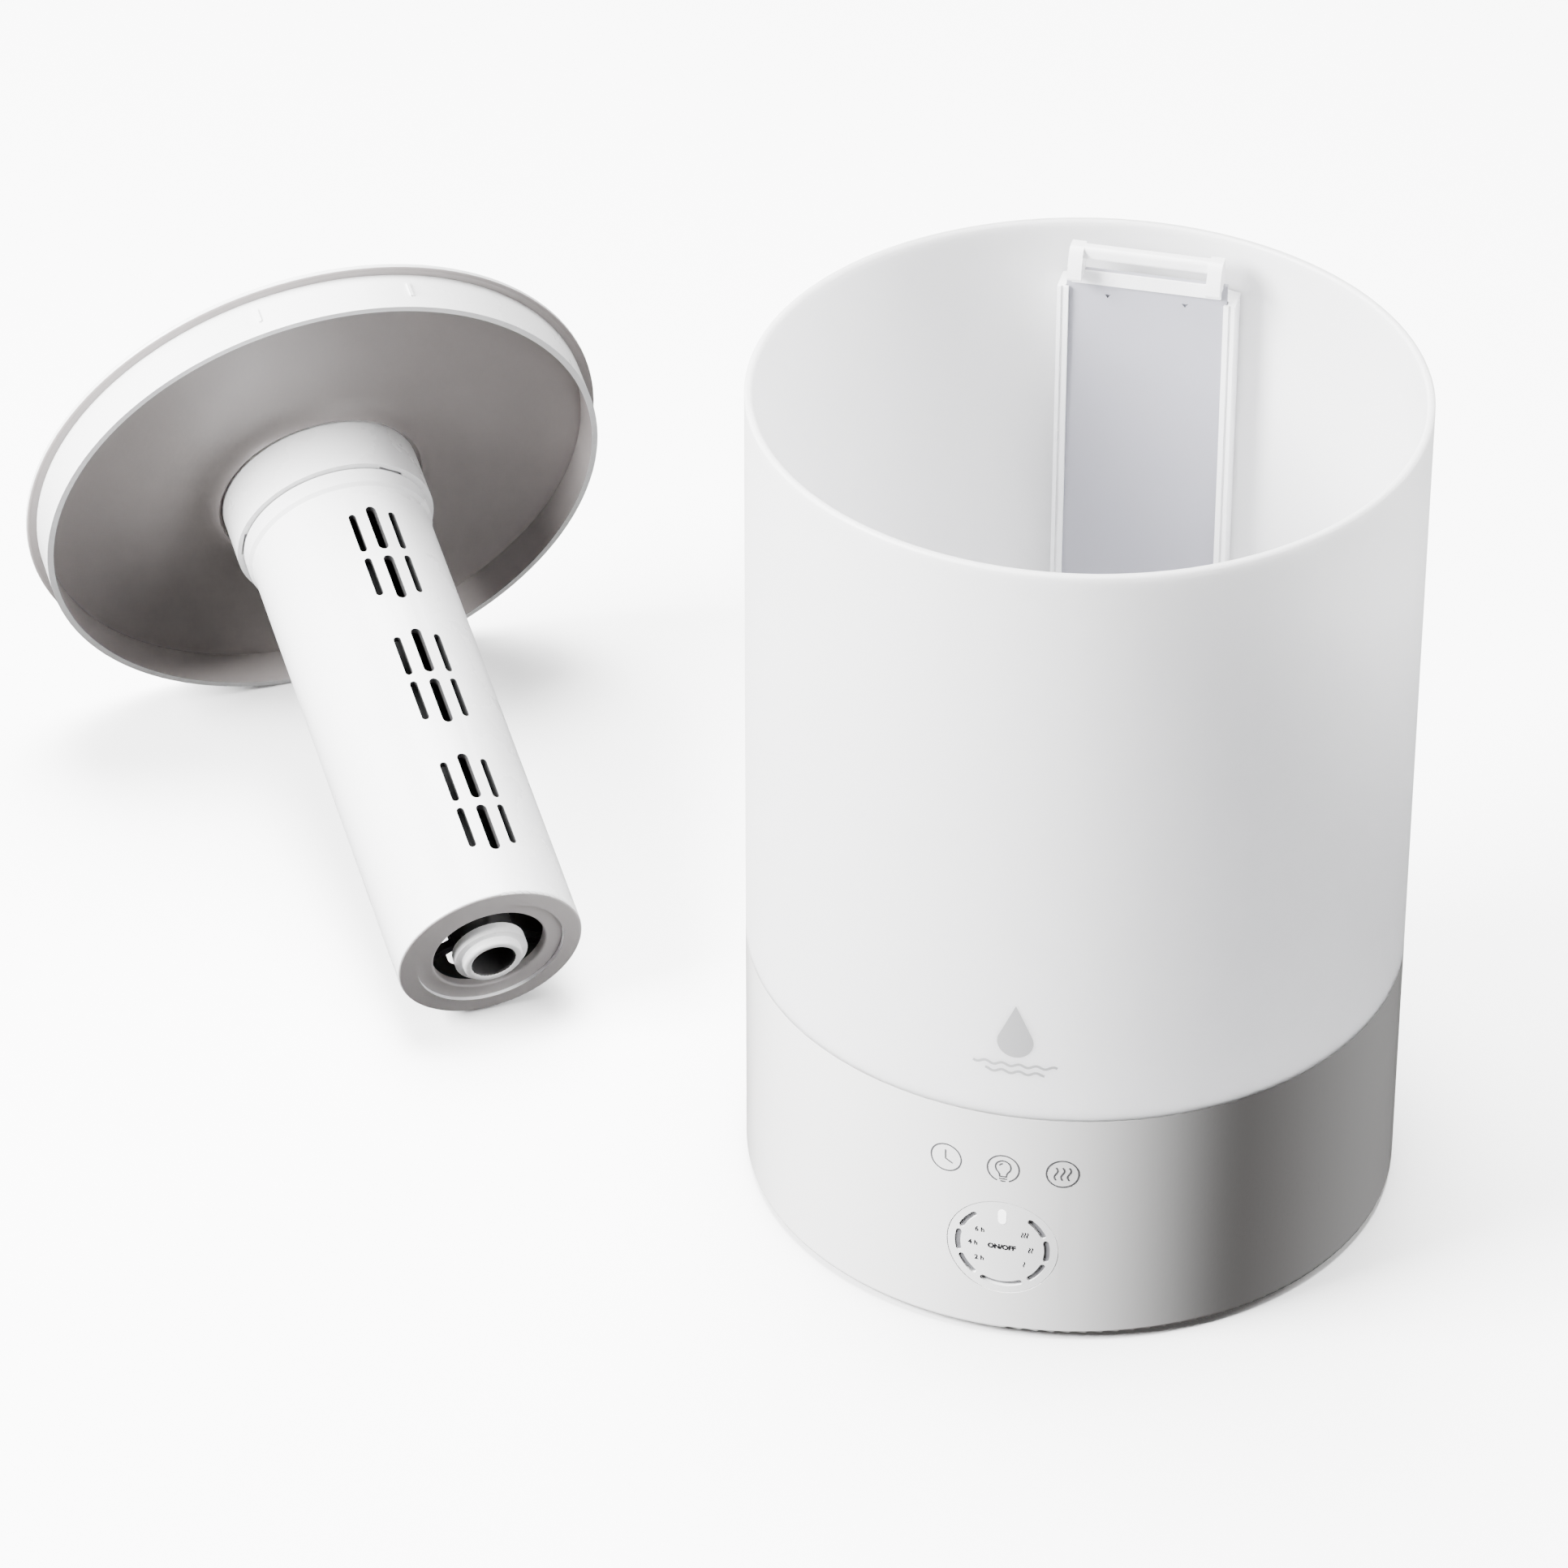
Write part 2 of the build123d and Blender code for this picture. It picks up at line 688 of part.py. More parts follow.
with BuildPart() as board_standoffs:
    with BuildSketch(Plane.XY.offset(plate_top)):
        with Locations((0, driver_y)):
            with GridLocations(driver_board_size[0] - 8, driver_board_size[1] - 8, 2, 2):
                Circle(3.0)
    extrude(amount=board_stand)
board_standoffs.part.label = "board_standoffs"
export_step(board_standoffs.part, "parts/board_standoffs.step")

with BuildPart(Plane((0, driver_y, board_level + board_thickness))) as driver_components:
    base_align = (Align.CENTER, Align.CENTER, Align.MIN)
    with Locations((-22, 12), (-9, 12)):
        Cylinder(4.0, 12, align=base_align)
    with Locations((8, 12)):
        Cylinder(6.0, 7, align=base_align)
    with Locations((24, 0)):
        Box(9, 22, 7, align=base_align)
    with Locations((-18, -10)):
        Box(14, 12, 5, align=base_align)
driver_components.part.label = "driver_components"
export_step(driver_components.part, "parts/driver_components.step")

with BuildPart(Plane((0, driver_y, board_level + board_thickness))) as heat_sink:
    with Locations((4, -12)):
        Box(24, 20, 2.5, align=base_align)
        with GridLocations(4.4, 0, 6, 1):
            Box(1.2, 20, 14, align=base_align)
heat_sink.part.label = "heat_sink"
export_step(heat_sink.part, "parts/heat_sink.step")

encoder_depth = 7.0
with BuildPart() as control_board:
    with BuildSketch(front_plane(control_board_y)):
        Rectangle(*control_board_size)
    extrude(amount=-board_thickness)
control_board.part.label = "control_board"
export_step(control_board.part, "parts/control_board.step")

encoder_face = control_board_y - encoder_depth
with BuildPart() as dial_encoder:
    with BuildSketch(front_plane(control_board_y)):
        RectangleRounded(13, 13, 1.2)
    extrude(amount=encoder_depth)
    with BuildSketch(front_plane(encoder_face + 4)):
        Circle(shaft_radius + running_gap)
    extrude(amount=5, mode=Mode.SUBTRACT)
dial_encoder.part.label = "dial_encoder"
export_step(dial_encoder.part, "parts/dial_encoder.step")

with BuildPart() as night_light_board:
    with BuildSketch(Plane.XY.offset(deck_under - 5)):
        Circle((well_hole + chimney_front) / 2 + 7)
        Circle((well_hole + chimney_front) / 2 - 7, mode=Mode.SUBTRACT)
    extrude(amount=board_thickness)
night_light_board.part.label = "night_light_board"
export_step(night_light_board.part, "parts/night_light_board.step")

with BuildPart() as night_light_leds:
    with Locations((0, 0, deck_under - 5 + board_thickness)):
        with PolarLocations((well_hole + chimney_front) / 2, led_count, start_angle=22.5):
            Cylinder(led_radius, 4.6, align=base_align)
    fillet(night_light_leds.edges().group_by(Axis.Z)[-1], led_radius * 0.7)
night_light_leds.part.label = "night_light_leds"
export_step(night_light_leds.part, "parts/night_light_leds.step")

inlet_face = sqrt(body_radius**2 - inlet_radius**2) + 0.4
with BuildPart() as power_inlet:
    with BuildSketch(inlet_plane.offset(inlet_face - body_radius / 2 - 13)):
        Circle(inlet_radius)
    extrude(amount=13)
    with BuildSketch(inlet_plane.offset(inlet_face - body_radius / 2 - 10)):
        Circle(inlet_bore)
        Circle(inlet_pin, mode=Mode.SUBTRACT)
    extrude(amount=12, mode=Mode.SUBTRACT)
power_inlet.part.label = "power_inlet"
export_step(power_inlet.part, "parts/power_inlet.step")

# ============================================================ dial
dial_bore = dial_radius + dial_gap
shaft_tip = dial_back_y + 3.0
with BuildPart() as dial_bezel:
    with BuildSketch(front_plane(dial_back_y + 5)):
        Circle(dial_bore + bezel_wall)
        Circle(dial_bore + 0.1, mode=Mode.SUBTRACT)
    extrude(amount=12)
    with BuildSketch(mode=Mode.PRIVATE) as inside_wall:
        Circle(body_radius - base_wall - 0.05)
    extrude(inside_wall.sketch, base_height, mode=Mode.INTERSECT)
dial_bezel.part.label = "dial_bezel"
export_step(dial_bezel.part, "parts/dial_bezel.step")

with BuildPart() as dial_shaft:
    with BuildSketch(front_plane(encoder_face + 3.8)):
        Circle(shaft_radius)
    extrude(amount=encoder_face + 3.8 - shaft_tip)
dial_shaft.part.label = "dial_shaft"
export_step(dial_shaft.part, "parts/dial_shaft.step")

arc_radius = dial_radius - dial_arc_inset
side_span = 26
low_span = 48
window_arcs = [(middle, side_span) for middle in (52, 90, 128, -52, -90, -128)] + [(180, low_span)]


def dial_windows(shrink):
    """Three arcs each side and a longer one below, each smaller all round by shrink."""
    with BuildSketch() as windows:
        for middle, span in window_arcs:
            SlotArc(
                arc=CenterArc((0, 0), arc_radius, 90 - middle - span / 2, span, mode=Mode.PRIVATE),
                height=dial_arc_width - 2 * shrink,
            )
    return windows.sketch


with BuildPart() as dial_face:
    with BuildSketch(front_plane(dial_back_y)):
        Circle(dial_radius)
    extrude(amount=dial_thickness + 1)
    with BuildSketch(mode=Mode.PRIVATE) as face_curve:
        Circle(body_radius - dial_setback)
    extrude(face_curve.sketch, base_height, mode=Mode.INTERSECT)
    # windows: three arcs each side, a long one below and a bar at 12 o'clock
    with BuildSketch(front_plane(dial_face_y - 1)):
        add(dial_windows(0))
        with Locations((0, pointer_middle)):
            SlotOverall(pointer_length + 0.2, pointer_width + 0.2, rotation=90)
    extrude(amount=-dial_thickness - 2, mode=Mode.SUBTRACT)
    # rim and hub behind the face
    with BuildSketch(front_plane(dial_back_y)):
        Circle(dial_radius)
        Circle(dial_radius - 1.4, mode=Mode.SUBTRACT)
        Circle(shaft_radius + 2.4)
    extrude(amount=-(encoder_face - dial_back_y) + dial_travel + 1.4)
    with BuildSketch(front_plane(shaft_tip - dial_travel - 0.6)):
        Circle(shaft_radius + running_gap)
    extrude(amount=-20, mode=Mode.SUBTRACT)
dial_face.part.label = "dial_face"
export_step(dial_face.part, "parts/dial_face.step")

with BuildPart() as dial_light_ring:
    with BuildSketch(front_plane(dial_back_y + 1.2)):
        Circle(dial_radius - 1.45)
        Circle(arc_radius - 2.4, mode=Mode.SUBTRACT)
    extrude(amount=1.2)
    with BuildSketch(front_plane(dial_back_y)):
        add(dial_windows(0.1))
    extrude(amount=dial_thickness - 1.4)
dial_light_ring.part.label = "dial_light_ring"
export_step(dial_light_ring.part, "parts/dial_light_ring.step")

with BuildPart() as dial_pointer:
    with BuildSketch(front_plane(dial_back_y)):
        with Locations((0, pointer_middle)):
            SlotOverall(pointer_length, pointer_width, rotation=90)
    extrude(amount=dial_thickness + 0.1)
dial_pointer.part.label = "dial_pointer"
export_step(dial_pointer.part, "parts/dial_pointer.step")

# ============================================================ lid, seated, then laid down
lid_tilt = degrees(atan2(skirt_radius - tube_radius, tube_reach))
lid_middle = skirt_radius * cos(radians(lid_tilt)) + 0.15
lying = (
    Location((lid_rest_x, lid_rest_y, lid_middle))
    * Location((0, 0, 0), (0, 0, lid_rest_heading))
    * Location((0, 0, 0), (lid_tilt - 90, 0, 0))
    * Location((0, 0, -skirt_edge))
)
rim = tank_rim_height
riser_bore = nozzle_spigot + 0.08
riser_radius = riser_bore + 2.2
crown_top = rim + flange_thickness + crown_height
crown_edge = nozzle_radius + 3

with BuildPart() as lid_cover:
    with BuildSketch(Plane.XZ):
        with BuildLine():
            edge_round = flange_thickness / 2
            Polyline(
                (riser_bore, crown_top - lid_skin),
                (riser_bore, crown_top),
                (crown_edge, crown_top),
            )
            Spline(
                (crown_edge, crown_top),
                (flange_radius * 0.6, crown_top - crown_height * 0.3),
                (flange_radius - edge_round, rim + flange_thickness),
                tangents=((1, 0), (1, -0.12)),
            )
            ThreePointArc(
                (flange_radius - edge_round, rim + flange_thickness),
                (flange_radius, rim + edge_round),
                (flange_radius - edge_round, rim),
            )
            Polyline(
                (flange_radius - edge_round, rim),
                (skirt_radius, rim),
                (skirt_radius, skirt_edge),
                (skirt_bore, skirt_edge),
                (skirt_bore, rim + flange_thickness - lid_skin),
            )
            Spline(
                (skirt_bore, rim + flange_thickness - lid_skin),
                (flange_radius * 0.6, crown_top - crown_height * 0.3 - lid_skin),
                (crown_edge, crown_top - lid_skin),
                tangents=((-1, 0.12), (-1, 0)),
            )
            Line((crown_edge, crown_top - lid_skin), (riser_bore, crown_top - lid_skin))
        make_face()
    revolve(axis=Axis.Z)
    # two short ribs that centre the skirt in the tank
    for angle in (-90 - rib_angle, -90 + rib_angle):
        rib_plane = Plane(
            origin=at(angle, skirt_radius - 0.5, skirt_edge + rib_setback),
            x_dir=(0, 0, 1),
            z_dir=at(angle, 1),
        )
        with BuildSketch(rib_plane):
            SlotOverall(rib_length, rib_width)
        extrude(amount=0.5 + rib_height)
lid_cover.part.locate(lying)
lid_cover.part.label = "lid_cover"
export_step(lid_cover.part, "parts/lid_cover.step")

flare_low = rim - flare_depth
ledge = tube_top + 0.5
funnel_edge = skirt_bore - 0.1
ceiling = rim - 1.6
flare_width = skirt_bore - collar_radius
with BuildPart() as lid_funnel:
    with BuildSketch(Plane.XZ):
        with BuildLine():
            Line((funnel_edge, ceiling + 1.8), (funnel_edge, ceiling))
            Spline(
                (funnel_edge, ceiling),
                (collar_radius + flare_width * 0.38, ceiling - 2.0),
                (collar_radius + 1.6, flare_low),
                tangents=((-1, 0), (-0.45, -1)),
            )
            Polyline(
                (collar_radius + 1.6, flare_low),
                (collar_radius + collar_groove, flare_low),
                (collar_radius + collar_groove, flare_low + collar_groove),
                (collar_radius, flare_low + collar_groove),
                (collar_radius, collar_end),
                (collar_bore, collar_end),
                (collar_bore, ledge),
                (riser_bore, ledge),
                (riser_bore, crown_top - lid_skin - 0.05),
                (riser_radius, crown_top - lid_skin - 0.05),
                (riser_radius, ledge + 2.2),
                (collar_radius - 2.4, ledge + 2.2),
            )
            Spline(
                (collar_radius - 2.4, ledge + 2.2),
                (collar_radius + flare_width * 0.36, ceiling - 0.2),
                (funnel_edge, ceiling + 1.8),
                tangents=((0.6, 1), (1, 0)),
            )
        make_face()
    revolve(axis=Axis.Z)
    # bayonet: a groove that the tube's lugs turn in, and three ways down into it
    with BuildSketch(Plane.XY.offset(lug_low - 0.3)):
        Circle(groove_radius)
        Circle(collar_bore - 0.2, mode=Mode.SUBTRACT)
    extrude(amount=lug_height + 0.6, mode=Mode.SUBTRACT)
    with BuildSketch(Plane.XY.offset(collar_end - 1)):
        with PolarLocations(
            groove_radius - 2, lug_count, start_angle=twist_arc + slot_angle
        ):
            Rectangle(4, lug_width + 2, align=(Align.CENTER, Align.CENTER))
        Circle(collar_bore - 0.2, mode=Mode.SUBTRACT)
    extrude(amount=lug_low + 0.5 - collar_end, mode=Mode.SUBTRACT)
lid_funnel.part.locate(lying)
lid_funnel.part.label = "lid_funnel"
export_step(lid_funnel.part, "parts/lid_funnel.step")

grip_top = collar_end - 0.4
with BuildPart() as mist_tube:
    with BuildSketch(Plane.XZ):
        with BuildLine():
            Polyline(
                (end_step, tube_end),
                (tube_radius, tube_end),
                (tube_radius, grip_top - band_height),
                (tube_radius + band_swell, grip_top - band_height + 1.2),
                (tube_radius + band_swell, grip_top),
                (tube_radius, grip_top),
                (tube_radius, tube_top),
                (tube_bore, tube_top),
                (tube_bore, tube_end + 2.5),
                (end_step, tube_end + 2.5),
                close=True,
            )
        make_face()
    revolve(axis=Axis.Z)
    end_edges = mist_tube.edges().filter_by(GeomType.CIRCLE).group_by(Axis.Z)[0]
    fillet(end_edges.sort_by(SortBy.RADIUS)[-1], 1.0)
    # lugs of the bayonet
    with BuildSketch(Plane.XY.offset(lug_low)):
        with PolarLocations(tube_radius, lug_count, start_angle=slot_angle):
            Rectangle(8, lug_width)
        Circle(tube_radius + lug_reach, mode=Mode.INTERSECT)
        Circle(tube_radius - 1, mode=Mode.SUBTRACT)
    extrude(amount=lug_height)
    # slots: groups of three columns in two rows, on opposite sides of the tube
    for group in range(slot_group_count):
        middle = skirt_edge - first_group_reach - group * group_pitch
        for side in (0, 180):
            for column in (-1, 0, 1):
                length = slot_length - (side_slot_short if column else 0)
                for row in (-1, 1):
                    slot_plane = Plane(
                        origin=(0, 0, middle + row * (length + slot_bridge) / 2),
                        z_dir=at(slot_angle + side + column * slot_column_pitch, 1),
                        x_dir=(0, 0, 1),
                    )
                    with BuildSketch(slot_plane.offset(tube_bore - 6)):
                        SlotOverall(length, side_slot_width if column else slot_width)
                    extrude(amount=10, mode=Mode.SUBTRACT)
mist_tube.part.locate(lying)
mist_tube.part.label = "mist_tube"
export_step(mist_tube.part, "parts/mist_tube.step")

with BuildPart() as tube_end_ring:
    with BuildSketch(Plane.XZ):
        with BuildLine():
            Polyline(
                (end_opening, tube_end + 1.2),
                (end_step - 0.1, tube_end + 1.2),
                (end_step - 0.1, tube_end + 2.55),
                (tube_bore - 0.1, tube_end + 2.55),
                (tube_bore - 0.1, tube_end + 4.4),
                (end_opening, tube_end + 4.4),
                close=True,
            )
        make_face()
    revolve(axis=Axis.Z)
    mouth_edges = tube_end_ring.edges().filter_by(GeomType.CIRCLE).group_by(Axis.Z)[0]
    fillet(mouth_edges.sort_by(SortBy.RADIUS)[0], 0.8)
tube_end_ring.part.locate(lying)
tube_end_ring.part.label = "tube_end_ring"
export_step(tube_end_ring.part, "parts/tube_end_ring.step")

spider_height = 3.0
with BuildPart() as mist_guide:
    with BuildSketch(Plane.XY.offset(tube_end - guide_projection)):
        Circle(guide_radius)
    extrude(amount=tube_top - tube_end + guide_projection)
    with BuildSketch(Plane.XY.offset(tube_end - 1.0)):
        Circle(guide_radius + 2.4)
    extrude(amount=4.0)
    for spider_low in (tube_end + 9, tube_top - spider_height - 1):
        with BuildSketch(Plane.XY.offset(spider_low)):
            with PolarLocations(0, 3, start_angle=30):
                Rectangle(2 * tube_bore, 3.0, align=(Align.MIN, Align.CENTER))
            Circle(tube_bore - 0.1, mode=Mode.INTERSECT)
        extrude(amount=spider_height)
        with BuildSketch(Plane.XY.offset(spider_low)):
            Circle(tube_bore - 0.1)
            Circle(tube_bore - 1.7, mode=Mode.SUBTRACT)
        extrude(amount=spider_height)
    with BuildSketch(Plane.XY.offset(tube_end - guide_projection - 1)):
        Circle(guide_bore)
    extrude(amount=tube_reach + 2 * guide_projection, mode=Mode.SUBTRACT)
    lip_edges = mist_guide.edges().filter_by(GeomType.CIRCLE).group_by(Axis.Z)[0]
    fillet(lip_edges, guide_lip)
mist_guide.part.locate(lying)
mist_guide.part.label = "mist_guide"
export_step(mist_guide.part, "parts/mist_guide.step")

nozzle_low = crown_top + 0.3
with BuildPart() as mist_nozzle:
    with BuildSketch(Plane.XZ):
        with BuildLine():
            Polyline(
                (nozzle_spigot - 2.0, crown_top - 8),
                (nozzle_spigot, crown_top - 8),
                (nozzle_spigot, nozzle_low),
                (nozzle_radius, nozzle_low),
                (nozzle_radius, nozzle_low + 2.2),
            )
            Spline(
                (nozzle_radius, nozzle_low + 2.2),
                (nozzle_radius * 0.72, nozzle_low + nozzle_height * 0.82),
                (0, nozzle_low + nozzle_height),
                tangents=((-0.15, 1), (-1, 0)),
            )
            Polyline((0, nozzle_low + nozzle_height), (0, nozzle_low + nozzle_height - 2.0))
            Spline(
                (0, nozzle_low + nozzle_height - 2.0),
                (nozzle_radius * 0.6, nozzle_low + nozzle_height * 0.55),
                (nozzle_spigot - 2.0, nozzle_low + 1.0),
                tangents=((1, 0), (0.2, -1)),
            )
            Line((nozzle_spigot - 2.0, nozzle_low + 1.0), (nozzle_spigot - 2.0, crown_top - 8))
        make_face()
    revolve(axis=Axis.Z)
    # the mouth leans towards the front
    mouth_plane = Plane(origin=(0, -4, nozzle_low + 1.5), z_dir=(0, -0.5, 0.866))
    with BuildSketch(mouth_plane):
        SlotOverall(2.6 * nozzle_mouth, nozzle_mouth)
    extrude(amount=nozzle_radius, mode=Mode.SUBTRACT)
mist_nozzle.part.locate(lying)
mist_nozzle.part.label = "mist_nozzle"
export_step(mist_nozzle.part, "parts/mist_nozzle.step")
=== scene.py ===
# %% [markdown]
# # A cool mist humidifier with its lid lying beside it
#
# The mechanical model is already made: a white base, a frosted tank, an air duct, a lid
# and a mist tube. This notebook dresses it. It gives every moulded, metal and rubber
# piece a finish, adds what a factory prints on top, and sets up a plain studio.

# %% Load the model
import json
import math

import bmesh
import bpy
from mathutils import Euler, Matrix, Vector


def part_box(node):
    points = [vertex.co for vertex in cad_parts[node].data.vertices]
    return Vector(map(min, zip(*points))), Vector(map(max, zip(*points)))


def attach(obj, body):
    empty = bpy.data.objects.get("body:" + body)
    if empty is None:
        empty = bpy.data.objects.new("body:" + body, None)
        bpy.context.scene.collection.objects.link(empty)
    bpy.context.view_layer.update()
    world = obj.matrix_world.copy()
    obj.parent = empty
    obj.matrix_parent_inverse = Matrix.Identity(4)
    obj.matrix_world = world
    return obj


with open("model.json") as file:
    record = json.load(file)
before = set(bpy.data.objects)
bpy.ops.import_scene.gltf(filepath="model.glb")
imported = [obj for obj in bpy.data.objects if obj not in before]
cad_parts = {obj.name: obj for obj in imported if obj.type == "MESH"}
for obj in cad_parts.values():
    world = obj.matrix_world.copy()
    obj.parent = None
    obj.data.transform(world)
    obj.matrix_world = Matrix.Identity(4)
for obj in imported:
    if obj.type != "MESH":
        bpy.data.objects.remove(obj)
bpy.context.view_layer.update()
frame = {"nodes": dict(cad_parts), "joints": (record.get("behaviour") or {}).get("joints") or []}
nodes = frame["nodes"]

# %% [markdown]
# The sizes below come from the model itself, so that prints and trims stay on their
# surfaces. The base and the tank share one outer radius. The seam between them, the rim
# and the dial's middle are the levels that everything else is placed from.

# %% Levels and radii read from the model
tank_low, tank_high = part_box("tank_shell")
base_low, base_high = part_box("base_housing")
dial_low, dial_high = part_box("dial_face")
wall_radius = tank_high.x
rim_level = tank_high.z
seam_level = base_high.z
dial_middle = (dial_low.z + dial_high.z) / 2
dial_radius = (dial_high.z - dial_low.z) / 2
dial_front = dial_low.y
print("wall radius %.4f, rim %.4f, seam %.4f" % (wall_radius, rim_level, seam_level))

# %% [markdown]
# The camera stands in front of the humidifier, a little to its right, and looks down at
# 34 degrees with a long lens. A long lens keeps the sides of the tank almost parallel,
# as in catalogue pictures. Its place is given from the foot of the tank.

# %% Camera
camera_data = bpy.data.cameras.new("catalogue_camera")
camera_data.lens = 168.0
camera_data.sensor_width = 36.0
camera_data.clip_end = 20.0
camera = bpy.data.objects.new("catalogue_camera", camera_data)
camera.location = (0.3715, -1.9122, 1.4792)
camera.rotation_euler = Euler((math.radians(55.52), 0.0, math.radians(13.79)))
bpy.context.scene.collection.objects.link(camera)
bpy.context.scene.camera = camera
print("camera at", tuple(round(c, 3) for c in camera.location))

# %% [markdown]
# White goods are lit with large soft boxes, because a white shell shows its shape only by
# the slow change from light to shade. The strong key lamp stands at the left, near the
# front. A broad lamp overhead opens the inside of the tank, and a weak one behind at the
# right lights the far edge. The world gives a dim warm fill. An area lamp is the natural
# choice in Blender, since its size sets how soft each shadow's edge is.

# %% Lamps
def soft_lamp(name, place, aim, size, power):
    """A square area lamp at place that faces aim."""
    data = bpy.data.lights.new(name, "AREA")
    data.energy = power
    data.size = size
    lamp = bpy.data.objects.new(name, data)
    lamp.location = place
    lamp.rotation_euler = (Vector(aim) - Vector(place)).to_track_quat("-Z", "Y").to_euler()
    bpy.context.scene.collection.objects.link(lamp)


tank_heart = (0.0, 0.0, rim_level / 2)
soft_lamp("key_lamp", (-1.69, -1.04, 1.4), (-0.1, 0.0, 0.1), 1.1, 430.0)
soft_lamp("top_lamp", (-0.35, 0.5, 1.9), (-0.1, 0.0, 0.0), 1.2, 110.0)
soft_lamp("rim_lamp", (1.6, 1.3, 0.9), tank_heart, 0.9, 30.0)

world = bpy.data.worlds.new("studio_air")
world.use_nodes = True
sky = world.node_tree.nodes["Background"]
sky.inputs["Color"].default_value = (1.0, 0.965, 0.95, 1.0)
sky.inputs["Strength"].default_value = 0.12
bpy.context.scene.world = world
print("lamps:", [lamp.name for lamp in bpy.data.lights])

# %% [markdown]
# In a studio, the object stands on a roll of pale paper. One flat sheet, far larger than
# the view, has no edge near the object and takes a soft shadow. White paper would also
# throw light up onto the object. Here the sheet is hidden from bounce light and mirror
# rays, so that the shaded sides of the base and the lid stay grey.

# %% Floor
def flat_sheet(name, half, level):
    """A square sheet of four corners at one level."""
    mesh = bpy.data.meshes.new(name)
    corners = [
        (-half, -half, level),
        (half, -half, level),
        (half, half, level),
        (-half, half, level),
    ]
    mesh.from_pydata(corners, [], [(0, 1, 2, 3)])
    sheet = bpy.data.objects.new(name, mesh)
    bpy.context.scene.collection.objects.link(sheet)
    return sheet


floor = flat_sheet("studio_floor", 12.0, -0.0002)
floor_paper = bpy.data.materials.new("floor_paper")
floor_paper.use_nodes = True
floor_shader = floor_paper.node_tree.nodes["Principled BSDF"]
floor_shader.inputs["Base Color"].default_value = (0.93, 0.93, 0.93, 1.0)
floor_shader.inputs["Roughness"].default_value = 0.9
floor_shader.inputs["Specular IOR Level"].default_value = 0.1
floor.data.materials.append(floor_paper)
print("floor sheet of %.0f m" % floor.dimensions.x)

# %% [markdown]
# Catalogue pictures have a floor that is almost pure white, brighter than the key lamp
# alone would make it. A studio aims one more lamp at the paper only. Light linking does
# the same: the lamp's receiver collection holds just the floor. A sun is used because it
# falls evenly everywhere, so the paper doesn't grow dark towards the horizon.

# %% A lamp for the floor alone
floor_group = bpy.data.collections.new("floor_group")
floor_group.objects.link(floor)
sun = bpy.data.lights.new("floor_sun", "SUN")
sun.energy = 9.0
sun.angle = math.radians(20.0)
floor_sun = bpy.data.objects.new("floor_sun", sun)
floor_sun.light_linking.receiver_collection = floor_group
bpy.context.scene.collection.objects.link(floor_sun)
print("lamp for the floor:", floor_sun.name)

# %% [markdown]
# Behind the floor hangs a pale backdrop. It could be a curved sweep behind the object,
# but then it would end somewhere when the view goes round. A large ball round the whole
# studio has no end. It glows evenly, and it is hidden from every ray but the camera's
# own, so it neither lights the object nor shades it.

# %% Backdrop
shell = bmesh.new()
bmesh.ops.create_icosphere(shell, subdivisions=4, radius=11.0)
backdrop_mesh = bpy.data.meshes.new("backdrop")
shell.to_mesh(backdrop_mesh)
shell.free()
backdrop = bpy.data.objects.new("backdrop", backdrop_mesh)
bpy.context.scene.collection.objects.link(backdrop)
backdrop_cloth = bpy.data.materials.new("backdrop_cloth")
backdrop_cloth.use_nodes = True
backdrop_shader = backdrop_cloth.node_tree.nodes["Principled BSDF"]
backdrop_shader.inputs["Base Color"].default_value = (0.0, 0.0, 0.0, 1.0)
backdrop_shader.inputs["Specular IOR Level"].default_value = 0.0
backdrop_shader.inputs["Emission Color"].default_value = (1.0, 1.0, 1.0, 1.0)
backdrop_shader.inputs["Emission Strength"].default_value = 2.7
backdrop_mesh.materials.append(backdrop_cloth)
for sheet in (floor, backdrop):
    sheet.visible_diffuse = False
    sheet.visible_glossy = False
    sheet.visible_transmission = False
backdrop.visible_shadow = False
print("backdrop of %d faces" % len(backdrop_mesh.polygons))

# %% [markdown]
# Every finish starts from one recipe. Moulded plastic is never one flat colour: the
# colour drifts a little with the thickness of the wall, fingers leave the gloss uneven,
# and the mould's own texture shows as a very fine grain. The recipe makes those three
# with noise in object space, so it needs no unwrapping. What is the same all over the
# surface, such as the metal amount, is set on the shader itself.
#
# Three helpers come first. One makes the noise, one maps it to a useful range, and one
# blends two colours by it.

# %% Helpers for noise and colour
def noise(tree, scale, detail=3.0, roughness=0.5):
    """A noise texture in object space."""
    where = tree.nodes.new("ShaderNodeTexCoord")
    texture = tree.nodes.new("ShaderNodeTexNoise")
    texture.inputs["Scale"].default_value = scale
    texture.inputs["Detail"].default_value = detail
    texture.inputs["Roughness"].default_value = roughness
    tree.links.new(where.outputs["Object"], texture.inputs["Vector"])
    return texture.outputs["Fac"]


def spread(tree, source, low, high, band=(0.3, 0.7)):
    """Maps a noise value from its useful band to low and high."""
    mapping = tree.nodes.new("ShaderNodeMapRange")
    mapping.inputs["From Min"].default_value = band[0]
    mapping.inputs["From Max"].default_value = band[1]
    mapping.inputs["To Min"].default_value = low
    mapping.inputs["To Max"].default_value = high
    tree.links.new(source, mapping.inputs["Value"])
    return mapping.outputs["Result"]


def blend_colours(tree, factor, one, two):
    """A colour between one and two."""
    mix = tree.nodes.new("ShaderNodeMix")
    mix.data_type = "RGBA"
    mix.inputs["A"].default_value = (*one, 1.0)
    mix.inputs["B"].default_value = (*two, 1.0)
    tree.links.new(factor, mix.inputs["Factor"])
    return mix.outputs["Result"]


